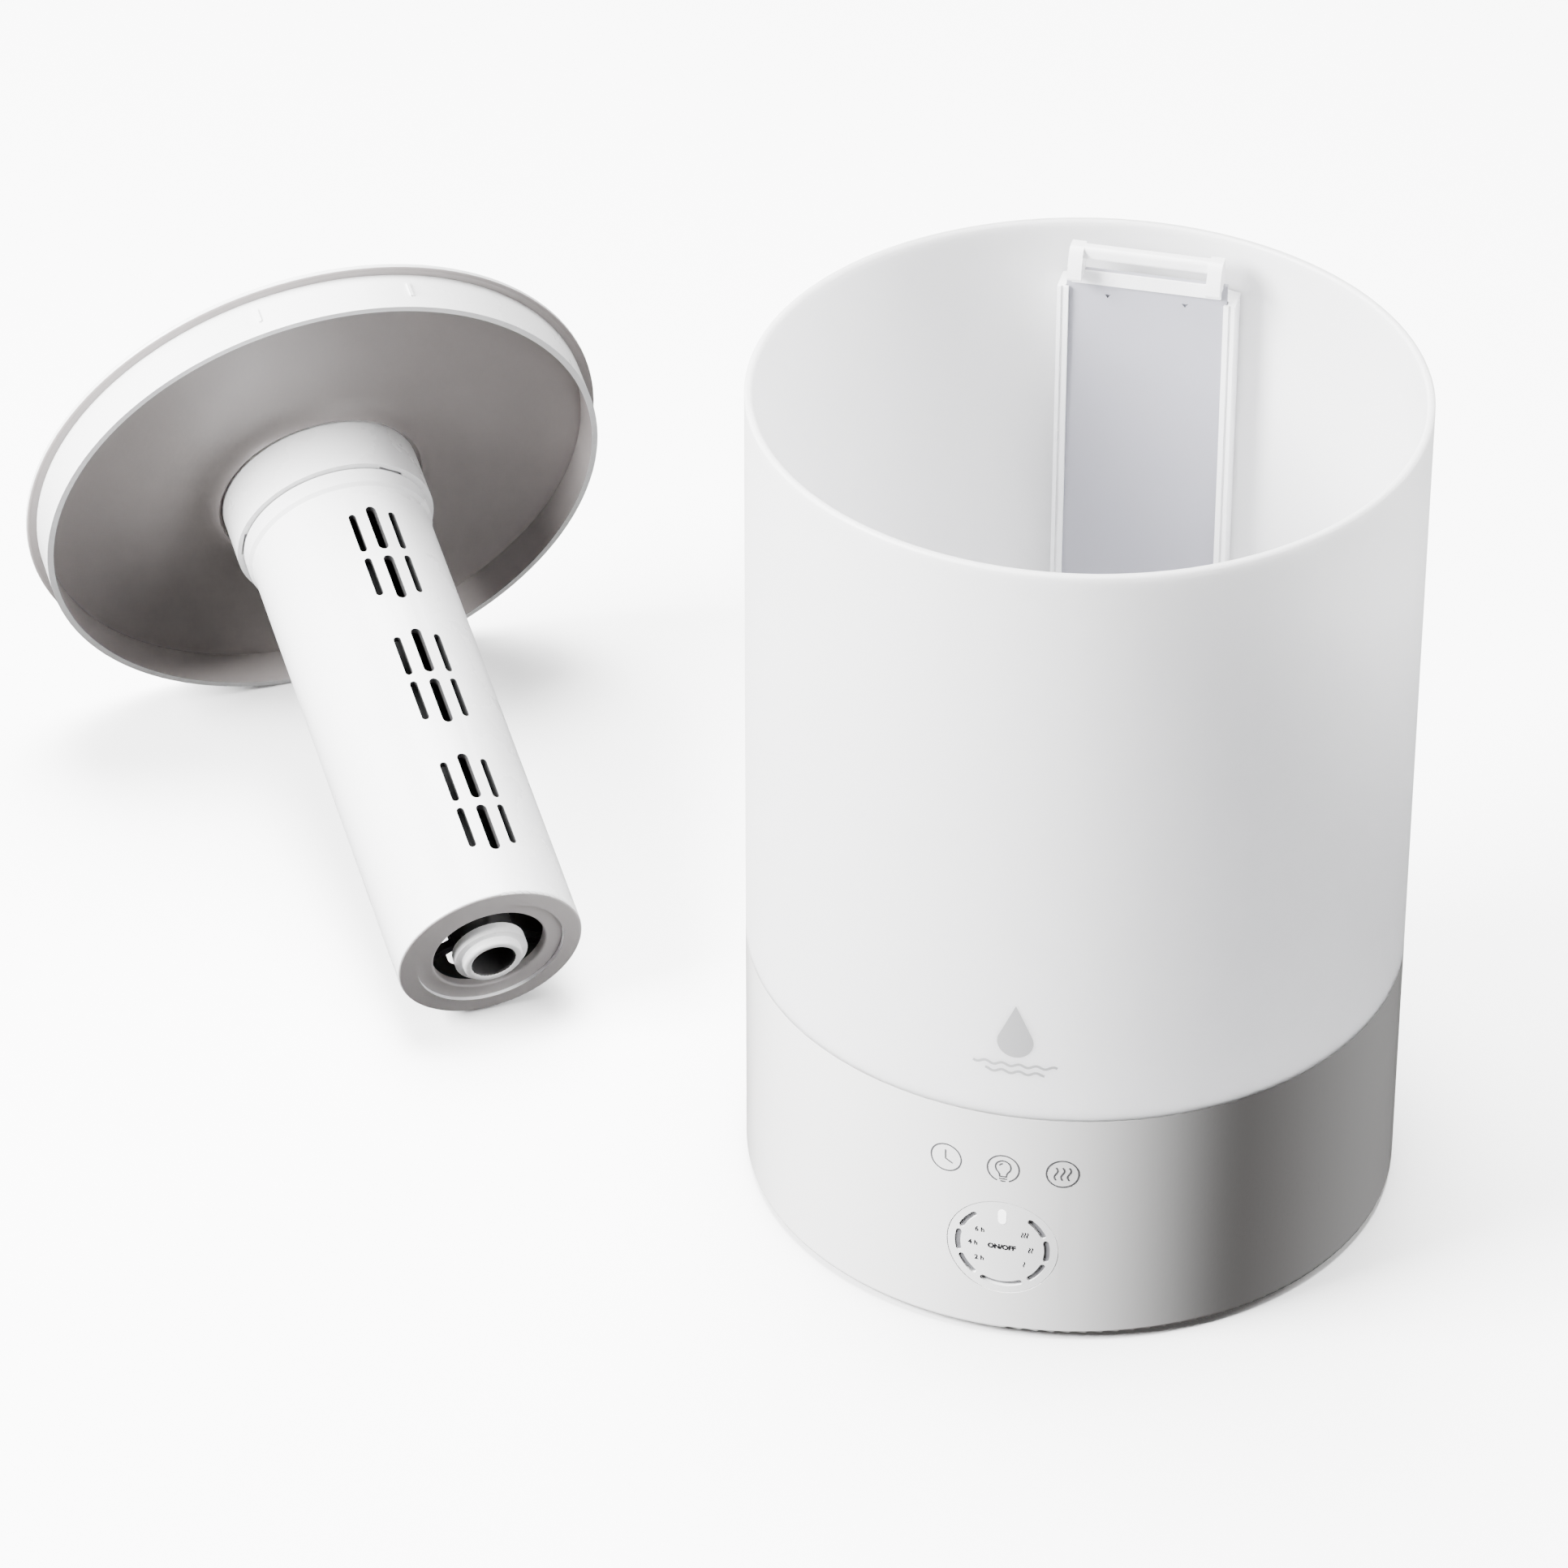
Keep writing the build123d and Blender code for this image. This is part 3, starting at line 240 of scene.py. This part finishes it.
# %% [markdown]
# The recipe itself takes the plain facts about a surface, in the words a maker uses: its
# colour, how much that drifts, how glossy it is, and how coarse its grain is. A group of
# nodes could do the same. A function is shorter to read, and each finish is then one
# line that can be compared with its neighbours.

# %% The recipe for a finish
def finish(name, colour, drift=0.03, gloss=(0.3, 0.36), grain=(900.0, 0.00002), **fixed):
    """A material with a drifting colour, an uneven gloss and a fine grain.

    gloss is the lowest and highest roughness; grain is the scale and depth of the bump.
    fixed sets the shader's other sockets, with underscores for spaces."""
    material = bpy.data.materials.new(name)
    material.use_nodes = True
    tree = material.node_tree
    shader = tree.nodes["Principled BSDF"]
    cloudy = noise(tree, 14.0)
    darker = tuple(c * (1.0 - drift) for c in colour)
    tinted = blend_colours(tree, spread(tree, cloudy, 0.0, 1.0), colour, darker)
    tree.links.new(tinted, shader.inputs["Base Color"])
    smears = noise(tree, 55.0, detail=5.0)
    tree.links.new(spread(tree, smears, *gloss), shader.inputs["Roughness"])
    bump = tree.nodes.new("ShaderNodeBump")
    bump.inputs["Strength"].default_value = 1.0
    bump.inputs["Distance"].default_value = grain[1]
    tree.links.new(noise(tree, grain[0], detail=2.0), bump.inputs["Height"])
    tree.links.new(bump.outputs["Normal"], shader.inputs["Normal"])
    for socket, value in fixed.items():
        shader.inputs[socket.replace("_", " ")].default_value = value
    return material


# %% [markdown]
# The white plastics differ in small ways. The base is polished ABS with a clear gloss
# over it, which a thin coat on the shader gives. The dial is nearly as smooth, the lid is
# a little duller, and the duct's cover is satin. The lid's funnel is white plastic as well,
# but it gets a satin dark brownish grey that is painted shade, for the shade that the lid's
# underside lies in. All could share one white, but then the seams between them would
# vanish, which they don't really do.

# %% Finishes for the white and grey shells
white_base = finish(
    "white_base", (0.90, 0.895, 0.89), 0.02, (0.17, 0.24), (700.0, 0.000012),
    Coat_Weight=0.25, Coat_Roughness=0.08,
)
white_lid = finish("white_lid", (0.88, 0.88, 0.88), 0.02, (0.24, 0.32), (800.0, 0.000015))
# Painted shade: a dark brownish grey for the lid's underside, skirt and funnel, which are white
# plastic in shade.
painted_shade_lid = finish("painted_shade_lid", (0.30, 0.275, 0.27), 0.04, (0.38, 0.46), (700.0, 0.00002))
white_tube = finish("white_tube", (0.90, 0.90, 0.905), 0.02, (0.24, 0.32), (800.0, 0.000015))
white_duct = finish("white_duct", (0.88, 0.88, 0.885), 0.02, (0.26, 0.34), (800.0, 0.000015))
grey_cover = finish("grey_cover", (0.30, 0.30, 0.335), 0.05, (0.36, 0.44), (1200.0, 0.00002))
white_dial = finish("white_dial", (0.91, 0.91, 0.91), 0.015, (0.2, 0.26), (900.0, 0.00001))
print("shell finishes:", len(bpy.data.materials))

# %% [markdown]
# The small mouldings and the inks are next. The bottom plate has a spark-eroded texture
# that hides scratches, so its grain is deeper. The dial's windows sit over a smoky light
# guide that looks dark until its lamps are on; its dark grey is also painted shade for the
# depth of the windows. The same dark finish on the bezel round the dial is painted shade in
# the thin gap there. The pointer is a clear white guide that is lit: a little emission
# stands for the lamp behind it.

# %% Finishes for small mouldings and inks
textured_plate = finish("textured_plate", (0.78, 0.78, 0.77), 0.04, (0.5, 0.6), (1500.0, 0.00006))
# Dark grey: the guide's smoky tone, plus painted shade in the dial's windows and its gap.
dark_guide_and_gap_shade = finish("dark_guide_and_gap_shade", (0.16, 0.16, 0.17), 0.06, (0.3, 0.4), (900.0, 0.00001))
pointer_guide = finish(
    "pointer_guide", (0.97, 0.97, 0.97), 0.01, (0.2, 0.25), (900.0, 0.00001),
    Emission_Color=(1.0, 1.0, 1.0, 1.0), Emission_Strength=2.5,
)
black_nylon = finish("black_nylon", (0.03, 0.03, 0.033), 0.2, (0.4, 0.52), (1200.0, 0.00004))
float_foam = finish("float_foam", (0.80, 0.83, 0.87), 0.04, (0.45, 0.55), (1100.0, 0.00005))
print_grey = finish("print_grey", (0.09, 0.09, 0.095), 0.03, (0.4, 0.5), (1600.0, 0.00001))
print_dark = finish("print_dark", (0.012, 0.012, 0.014), 0.03, (0.4, 0.5), (1600.0, 0.00001))
pale_ink = finish("pale_ink", (0.45, 0.45, 0.46), 0.02, (0.45, 0.5), (1600.0, 0.00001))
print("finishes so far:", len(bpy.data.materials))

# %% [markdown]
# The tank is frosted polypropylene. Light enters its wall, scatters and leaves again, so
# it glows softly and hides what is behind it. It could be a rough glass, but that shows
# the inside too clearly and is slow to render. Subsurface scattering with a reach of
# about a centimetre lets light through the wall and keeps it milky.

# %% Finish for the frosted tank
frosted = finish(
    "frosted_tank", (0.90, 0.90, 0.915), 0.015, (0.42, 0.5), (1000.0, 0.00003),
    Subsurface_Weight=1.0, Subsurface_Scale=0.011, Subsurface_Radius=(1.0, 1.0, 1.0),
)
print("tank finish:", frosted.name)

# %% [markdown]
# Rubber is dark, dull and slightly dusty. Metals get their look from roughness and from
# grain: plain steel for screws and the encoder, cast aluminium for the heat sinks, and a
# bright lapped face on the disc that makes the mist. A metal's colour is the colour of
# its reflection, so Metallic is 1 and the base colour is the metal's own grey. The boards
# are green resin, and the lamps are clear yellowish epoxy that lets some light through.

# %% Finishes for rubber, metal and boards
grey_rubber = finish("grey_rubber", (0.09, 0.09, 0.095), 0.2, (0.65, 0.8), (900.0, 0.00008))
clear_silicone = finish("clear_silicone", (0.72, 0.72, 0.71), 0.05, (0.45, 0.55), (700.0, 0.00002))
steel = finish("steel", (0.55, 0.55, 0.56), 0.1, (0.25, 0.4), (1800.0, 0.00002), Metallic=1.0)
cast_aluminium = finish(
    "cast_aluminium", (0.62, 0.62, 0.63), 0.08, (0.35, 0.5), (1500.0, 0.00005), Metallic=1.0,
)
lapped_disc = finish(
    "lapped_disc", (0.70, 0.69, 0.66), 0.05, (0.12, 0.2), (2200.0, 0.00001), Metallic=1.0,
)
board_resin = finish("board_resin", (0.015, 0.11, 0.045), 0.3, (0.3, 0.45), (1300.0, 0.00003))
led_epoxy = finish(
    "led_epoxy", (0.95, 0.88, 0.70), 0.03, (0.08, 0.14), (900.0, 0.00001), Transmission_Weight=0.6,
)
print("all finishes:", len(bpy.data.materials))

# %% [markdown]
# Now each piece of the humidifier gets its finish. The pieces could be dressed one by
# one as they come, but a table from finish to pieces shows at a glance what is made of
# the same stuff. The last line prints any piece that was forgotten.

# %% Dress the model's own pieces
dressing = {
    white_base: ["base_housing"],
    textured_plate: ["bottom_plate", "board_standoffs"],
    frosted: ["tank_shell"],
    white_duct: ["air_duct", "duct_handle", "float_post", "float_cap"],
    grey_cover: ["duct_cover"],
    white_lid: ["lid_cover", "mist_nozzle"],
    # The funnel's finish is painted shade; the plastic is white.
    painted_shade_lid: ["lid_funnel"],
    white_tube: ["mist_tube", "tube_end_ring", "mist_guide"],
    white_dial: ["dial_face"],
    # The dark bezel paints the shade in the gap round the dial; the ring's dark grey is its smoky
    # tone and painted shade in the windows.
    dark_guide_and_gap_shade: ["dial_light_ring", "dial_bezel"],
    pointer_guide: ["dial_pointer"],
    grey_rubber: ["rubber_feet"],
    clear_silicone: ["tank_gasket", "transducer_seal"],
    steel: ["base_screws", "clamp_screws", "fan_motor", "dial_encoder", "dial_shaft"],
    cast_aluminium: ["transducer_clamp", "heat_sink"],
    lapped_disc: ["transducer_disc"],
    board_resin: ["driver_board", "control_board", "night_light_board"],
    black_nylon: ["driver_components", "fan_housing", "fan_rotor", "power_inlet"],
    led_epoxy: ["night_light_leds"],
    float_foam: ["float_ring"],
}
for material, names in dressing.items():
    for name in names:
        slots = nodes[name].data.materials
        if len(slots) == 0:
            slots.append(material)
        for index in range(len(slots)):
            slots[index] = material
undressed = set(nodes) - {name for names in dressing.values() for name in names}
print("pieces without a finish:", sorted(undressed))

# %% [markdown]
# Some mouldings don't look the same all over. The inside of the lid gets a dark satin grey
# that is painted shade, while its collar keeps the white of the plastic. The inside of the
# mist tube is painted near black as its shade, which is why its slots look black. One could
# cut such a piece in two, or paint a mask.
# themselves choose: each face is tested by where its middle lies and where it looks, and
# gets a second material if it passes. That needs no unwrapping. All these pieces are
# round about the mist tube, so its middle line, from the joint it turns on, measures
# them: away is the distance from the line, run is the distance along it from the edge of
# the lid's skirt, and facing is 1 where a face looks the way the tube points.

# %% The line of the mist tube
twist = next(joint for joint in frame["joints"] if joint["name"] == "tube_twist")
tube_line = Vector(twist["axis"]).normalized()
tube_start = Vector(twist["pos_m"])
MM = 0.001
print("tube line points", tuple(round(c, 3) for c in tube_line))


def off_line(point):
    """How far a point is from the tube's middle line, and how far along it, in mm."""
    run = (point - tube_start).dot(tube_line)
    return (point - tube_start - run * tube_line).length / MM, run / MM


def second_finish(name, material, belongs):
    """Gives the faces that belongs accepts another finish on the same piece."""
    piece = nodes[name]
    piece.data.materials.append(material)
    last = len(piece.data.materials) - 1
    count = 0
    for face in piece.data.polygons:
        away, run = off_line(piece.matrix_world @ face.center)
        if belongs(away, run, face.normal.dot(tube_line)):
            face.material_index = last
            count += 1
    print("%s: %d faces in %s" % (name, count, material.name))


# %% [markdown]
# The mist tube is white plastic, but its inside gets a near black that is painted shade,
# and so does everything on the pipe that stays deep in it. Its lower end ring gets a grey
# that is painted shade, since it faces away from the lamps. The limits are in millimetres
# and lie just clear of the tube's own surfaces, so that no face falls on the wrong side.
# Choosing faces by place keeps the tube one watertight solid.

# %% Second finishes on the tube and the pipe
TUBE_INSIDE = 32.2
TUBE_END = 200.8
RING_START = 199.0
PIPE_END = 200.0
PIPE_INSIDE = 7.8
# Painted shade: near black for the tube's bore, grey for its white end faces.
tube_shadow = finish("tube_shadow", (0.035, 0.034, 0.035), 0.1, (0.5, 0.6), (900.0, 0.00002))
painted_shade_end = finish("painted_shade_end", (0.42, 0.40, 0.40), 0.04, (0.36, 0.44), (700.0, 0.00002))


def inside_tube(away, run, facing):
    """The tube's bore, short of its open end."""
    return away < TUBE_INSIDE and run < TUBE_END


def open_end(away, run, facing):
    """The flat ring that closes the tube's wall."""
    return facing > 0.7 and run > TUBE_END


def outer_ring(away, run, facing):
    """All of the end ring but the lip inside the tube."""
    return run > RING_START


def deep_pipe(away, run, facing):
    """The pipe and its spokes deep in the tube, and the whole of the pipe's bore."""
    return run < PIPE_END or away < PIPE_INSIDE


# Each call below paints shade on part of a white piece.
second_finish("mist_tube", tube_shadow, inside_tube)
second_finish("mist_tube", painted_shade_end, open_end)
second_finish("tube_end_ring", painted_shade_end, outer_ring)
second_finish("mist_guide", tube_shadow, deep_pipe)

# %% [markdown]
# The lid's cover is glossy white on top and round its skirt, where hands and eyes go. The
# inner wall of the skirt and the underside get the dark grey of painted shade, like the
# funnel that clips into it. The funnel's collar gets the white, glossier finish back, the
# plastic's own colour, because the tube slides in there. The outer top must stay white, so
# faces that look away from the tube are left alone.

# %% Second finishes on the lid
SKIRT_INSIDE = 99.0
UNDERSIDE_LEVEL = -10.0
COLLAR_REACH = 36.2
COLLAR_START = -4.5


def inner_skirt(away, run, facing):
    """The inner wall of the skirt and what it surrounds, without the outer top."""
    return facing > -0.5 and away < SKIRT_INSIDE


def underside(away, run, facing):
    """Faces that look down the tube from behind the skirt's edge."""
    return facing > 0.5 and run < UNDERSIDE_LEVEL


def collar(away, run, facing):
    """The collar that holds the tube, on the funnel."""
    return away < COLLAR_REACH and run > COLLAR_START


# Painted shade on the skirt's inner wall and the underside; the funnel's collar keeps its white.
second_finish("lid_cover", painted_shade_lid, inner_skirt)
second_finish("lid_cover", painted_shade_lid, underside)
second_finish("lid_funnel", white_lid, collar)

# %% [markdown]
# Marks on an appliance are printed in one thin layer of ink. They could be an image laid
# over the shell, but that blurs close up and needs unwrapping. Here each mark is a real
# skin a few hundredths of a millimetre thick, wrapped on the surface that it is printed
# on. Two small functions say where a flat drawing lands: u runs to the right, v runs up,
# and lift goes out of the surface. INK is how far the skin stands out, and SINK is how
# far its back reaches in, so that no gap shows.

# %% Where prints land
INK = 0.00005
SINK = 0.00004


def on_wall(middle):
    """Wraps a drawing round the cylinder, with its v = 0 at the height middle."""
    def place(u, v, lift):
        angle = u / wall_radius - math.pi / 2
        radius = wall_radius + lift
        return (radius * math.cos(angle), radius * math.sin(angle), middle + v)
    return place


def on_dial(u, v, lift):
    """Lays a drawing on the dial, whose face follows the curve of the base."""
    radius = -dial_front + lift
    return (u, -math.sqrt(radius * radius - u * u), dial_middle + v)


print("ink stands out %.2f mm" % (INK / MM))

# %% [markdown]
# One helper does it for all.

# %% A mesh that rides on a body
def link_mesh(name, vertices, faces, material, body):
    """Makes an object from a mesh, gives it a finish and lets it ride on a body."""
    mesh = bpy.data.meshes.new(name)
    mesh.from_pydata(vertices, [], faces)
    mesh.validate()
    mesh.update()
    mesh.materials.append(material)
    piece = bpy.data.objects.new(name, mesh)
    bpy.context.scene.collection.objects.link(piece)
    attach(piece, body)
    return piece


# %% [markdown]
# A line of ink is a ribbon. A curve with a bevel would be quicker, but it gives a round
# wire, not a flat print. The function walks along the drawn points, steps half the width
# to each side, and closes the strip into a thin solid, so that no edge is open.

# %% Ribbons of ink
def ribbon_part(points, width, closed, place, vertices, faces):
    """Adds one ribbon to the lists of vertices and faces."""
    count = len(points)
    first = len(vertices)
    for index, (u, v) in enumerate(points):
        before = points[index - 1] if closed or index > 0 else points[index]
        after = points[(index + 1) % count] if closed or index < count - 1 else points[index]
        run = Vector((after[0] - before[0], after[1] - before[1])).normalized()
        side = Vector((-run.y, run.x)) * width / 2
        for lift in (INK, -SINK):
            for sign in (1, -1):
                vertices.append(place(u + sign * side.x, v + sign * side.y, lift))
    for index in range(count if closed else count - 1):
        a = first + 4 * index
        b = first + 4 * ((index + 1) % count)
        faces += [(a, a + 1, b + 1, b), (a + 2, b + 2, b + 3, a + 3)]
        faces += [(a, b, b + 2, a + 2), (a + 1, a + 3, b + 3, b + 1)]
    if not closed:
        z = first + 4 * (count - 1)
        faces += [(first, first + 2, first + 3, first + 1), (z, z + 1, z + 3, z + 2)]


def ribbons(name, strokes, width, place, material, body):
    """One object from several strokes; a stroke is (points, closed)."""
    vertices, faces = [], []
    for points, closed in strokes:
        ribbon_part(points, width, closed, place, vertices, faces)
    return link_mesh(name, vertices, faces, material, body)


# %% [markdown]
# A filled mark needs more care than a ribbon. One flat polygon would cut straight through
# the round wall. The shape is filled with smaller and smaller copies of its own outline,
# so that it has enough points to bend with the wall.

# %% Filled patches of ink
def patch(name, outline, place, material, body, rings=5):
    """A filled shape, made of shrinking rings so that it follows a curved wall."""
    middle = (sum(u for u, v in outline) / len(outline), sum(v for u, v in outline) / len(outline))
    vertices, faces = [], []
    count = len(outline)
    for lift in (INK, -SINK):
        for ring in range(rings):
            share = 1.0 - ring / rings
            for u, v in outline:
                inner_u = middle[0] + (u - middle[0]) * share
                inner_v = middle[1] + (v - middle[1]) * share
                vertices.append(place(inner_u, inner_v, lift))
        vertices.append(place(*middle, lift))
    layer = rings * count + 1
    for k in range(count):
        n = (k + 1) % count
        for start, order in ((0, 1), (layer, -1)):
            for ring in range(rings - 1):
                a, b = start + ring * count, start + (ring + 1) * count
                faces.append((a + k, a + n, b + n, b + k)[::order])
            last = start + (rings - 1) * count
            faces.append((last + k, last + n, start + rings * count)[::order])
        faces.append((k, layer + k, layer + n, n))
    return link_mesh(name, vertices, faces, material, body)


# %% [markdown]
# The marks themselves are drawn with four strokes: an arc, a full circle, a wavy line,
# and any of them shifted. They could be listed point by point, but a formula stays smooth
# at any size and says what the stroke is.

# %% Strokes to draw with
def arc(radius, start, end, steps=40, centre=(0.0, 0.0)):
    """Points along an arc, angles in degrees from the right."""
    turns = [math.radians(start + (end - start) * k / steps) for k in range(steps + 1)]
    return [(centre[0] + radius * math.cos(t), centre[1] + radius * math.sin(t)) for t in turns]


def ring(radius, centre=(0.0, 0.0), steps=64):
    """Points once round a circle, without repeating the first."""
    return arc(radius, 0, 360, steps, centre)[:-1]


def wave(middle, height, swing, steps=20):
    """A wavy vertical line of one full wave."""
    heights = [height * (k / steps - 0.5) for k in range(steps + 1)]
    return [(middle + swing * math.sin(2 * math.pi * h / height), h) for h in heights]


def moved(points, du, dv=0.0):
    """The same points, shifted."""
    return [(u + du, v + dv) for u, v in points]


# %% [markdown]
# Three touch symbols stand in a row above the dial: a clock for the timer, a bulb for
# the night light and mist for the output. Each sits in a thin circle. The bulb's circle
# is open at the bottom, where its socket passes through. They are printed on the curved
# base, so they are drawn flat in millimetres and wrapped, as the printer's pad does.

# %% Touch symbols on the base
symbol_level = 0.0669
symbol_spacing = 19.0 * MM
symbol_radius = 5.15 * MM
thin = 0.5 * MM

minute_hand = [(-0.2 * MM, 3.0 * MM), (-0.2 * MM, 0.0), (-0.2 * MM, -0.55 * MM)]
hour_hand = [(-0.2 * MM, -0.45 * MM), (1.0 * MM, -1.1 * MM), (2.3 * MM, -1.8 * MM)]
clock = [
    (moved(ring(symbol_radius), -symbol_spacing), True),
    (moved(minute_hand, -symbol_spacing), False),
    (moved(hour_hand, -symbol_spacing), False),
]
bulb = [
    (arc(symbol_radius, -68, 248, 60), False),
    (arc(2.5 * MM, -50, 230, 40, (0.0, 0.6 * MM)), False),
    ([(-1.6 * MM, -1.3 * MM), (-1.15 * MM, -2.3 * MM), (-1.15 * MM, -2.9 * MM)], False),
    ([(1.6 * MM, -1.3 * MM), (1.15 * MM, -2.3 * MM), (1.15 * MM, -2.9 * MM)], False),
    ([(-1.3 * MM, -3.1 * MM), (1.3 * MM, -3.1 * MM)], False),
    ([(-1.3 * MM, -4.0 * MM), (1.3 * MM, -4.0 * MM)], False),
    ([(-0.8 * MM, -4.9 * MM), (0.8 * MM, -4.9 * MM)], False),
    (arc(1.3 * MM, 95, 160, 12, (0.0, 0.7 * MM)), False),
]
mist = [(moved(ring(symbol_radius), symbol_spacing), True)]
for offset in (-2.1, 0.0, 2.1):
    mist.append((moved(wave(offset * MM, 5.0 * MM, 0.55 * MM), symbol_spacing), False))
on_base = on_wall(symbol_level)
ribbons("clock_symbol", clock, thin, on_base, print_grey, "base")
ribbons("bulb_symbol", bulb, thin, on_base, print_grey, "base")
ribbons("mist_symbol", mist, thin, on_base, print_grey, "base")
print("symbols at %.1f mm above the table" % (symbol_level / MM))

# %% [markdown]
# Low on the tank there is a pale printed mark. A plain drop over two ripples stands for
# water and belongs to nobody. The drop is an arc below, and two straight sides above that
# touch the arc and meet in a point. The angle where they touch comes from the arc's
# radius and the tip's height, so the outline stays smooth if either changes.

# %% Water mark on the tank
mark_level = seam_level + 29.5 * MM
mark_shift = 3.0 * MM
on_tank = on_wall(mark_level)
drop_radius = 5.8 * MM
drop_tip = 14.0 * MM
tangent = math.degrees(math.acos(drop_radius / drop_tip))
drop = arc(drop_radius, 90 + tangent, 450 - tangent, 48)
shoulder_right, shoulder_left = drop[-1], drop[0]
for share in (0.25, 0.5, 0.75):
    rise = (drop_tip - shoulder_right[1]) * share
    drop.append((shoulder_right[0] * (1 - share), shoulder_right[1] + rise))
drop.append((0.0, drop_tip))
for share in (0.75, 0.5, 0.25):
    rise = (drop_tip - shoulder_left[1]) * share
    drop.append((shoulder_left[0] * (1 - share), shoulder_left[1] + rise))
ripples = []
ripple_steps = 48
ripple_swing = 0.5
for level, half in ((-8.9, 13.5), (-11.6, 9.5)):
    across = [half * (2 * k / ripple_steps - 1) for k in range(ripple_steps + 1)]
    ripple = [(u * MM, (level + ripple_swing * math.sin(u * 1.15)) * MM) for u in across]
    ripples.append((moved(ripple, mark_shift), False))
patch("water_mark_drop", moved(drop, mark_shift), on_tank, pale_ink, "base")
ribbons("water_mark_ripples", ripples, 0.9 * MM, on_tank, pale_ink, "base")
print("water mark at %.1f mm above the table" % (mark_level / MM))

# %% [markdown]
# The dial carries small marks beside its windows: hours on the left, mist levels on the
# right, and the words for its push switch in the middle. Lettering could stay a font
# object, but that is flat and the dial is curved. So the font curve is turned into a mesh
# with a little thickness, and each of its points is laid on the dial. The weight swells
# the strokes a little, as ink does.

# %% Lettering as a skin of ink
def lettering(name, words, size, u, v, weight, place, material, body):
    """Words as a thin skin, centred at u, v."""
    curve = bpy.data.curves.new(name + "_font", "FONT")
    curve.body = words
    curve.size = size
    curve.align_x = "CENTER"
    curve.align_y = "CENTER"
    curve.extrude = INK
    curve.offset = weight
    curve.resolution_u = 4
    holder = bpy.data.objects.new(name + "_font", curve)
    bpy.context.scene.collection.objects.link(holder)
    bpy.context.view_layer.update()
    shape = bpy.data.meshes.new_from_object(holder)
    vertices = [place(u + p.co.x, v + p.co.y, p.co.z) for p in shape.vertices]
    faces = [tuple(face.vertices) for face in shape.polygons]
    bpy.data.objects.remove(holder)
    bpy.data.meshes.remove(shape)
    return link_mesh(name, vertices, faces, material, body)


# %% [markdown]
# The hours stand in a column that follows the circle of windows, and the switch's words
# sit in the middle in bolder type. The mist levels are one, two and three wavy strokes,
# made with the same ribbon as the symbols. All of them ride on the dial.

# %% Marks on the dial
letter_size = 2.5 * MM
level_gap = 0.85 * MM
for words, u, v in (("6 h", -7.3, 5.7), ("4 h", -9.5, 0.0), ("2 h", -7.3, -5.7)):
    label = "hours_" + words[0]
    lettering(label, words, letter_size, u * MM, v * MM, 0.00008, on_dial, print_dark, "dial")
lettering("switch_words", "ON/OFF", letter_size, 0.0, 0.0, 0.00014, on_dial, print_dark, "dial")
for level, (u, v) in enumerate(((7.4, -5.9), (9.4, 0.0), (7.4, 5.9)), 1):
    lines = []
    for k in range(level):
        stroke = wave((k - (level - 1) / 2) * level_gap, 2.1 * MM, 0.22 * MM)
        lines.append((moved(stroke, u * MM, v * MM), False))
    ribbons("mist_level_%d" % level, lines, 0.36 * MM, on_dial, print_dark, "dial")
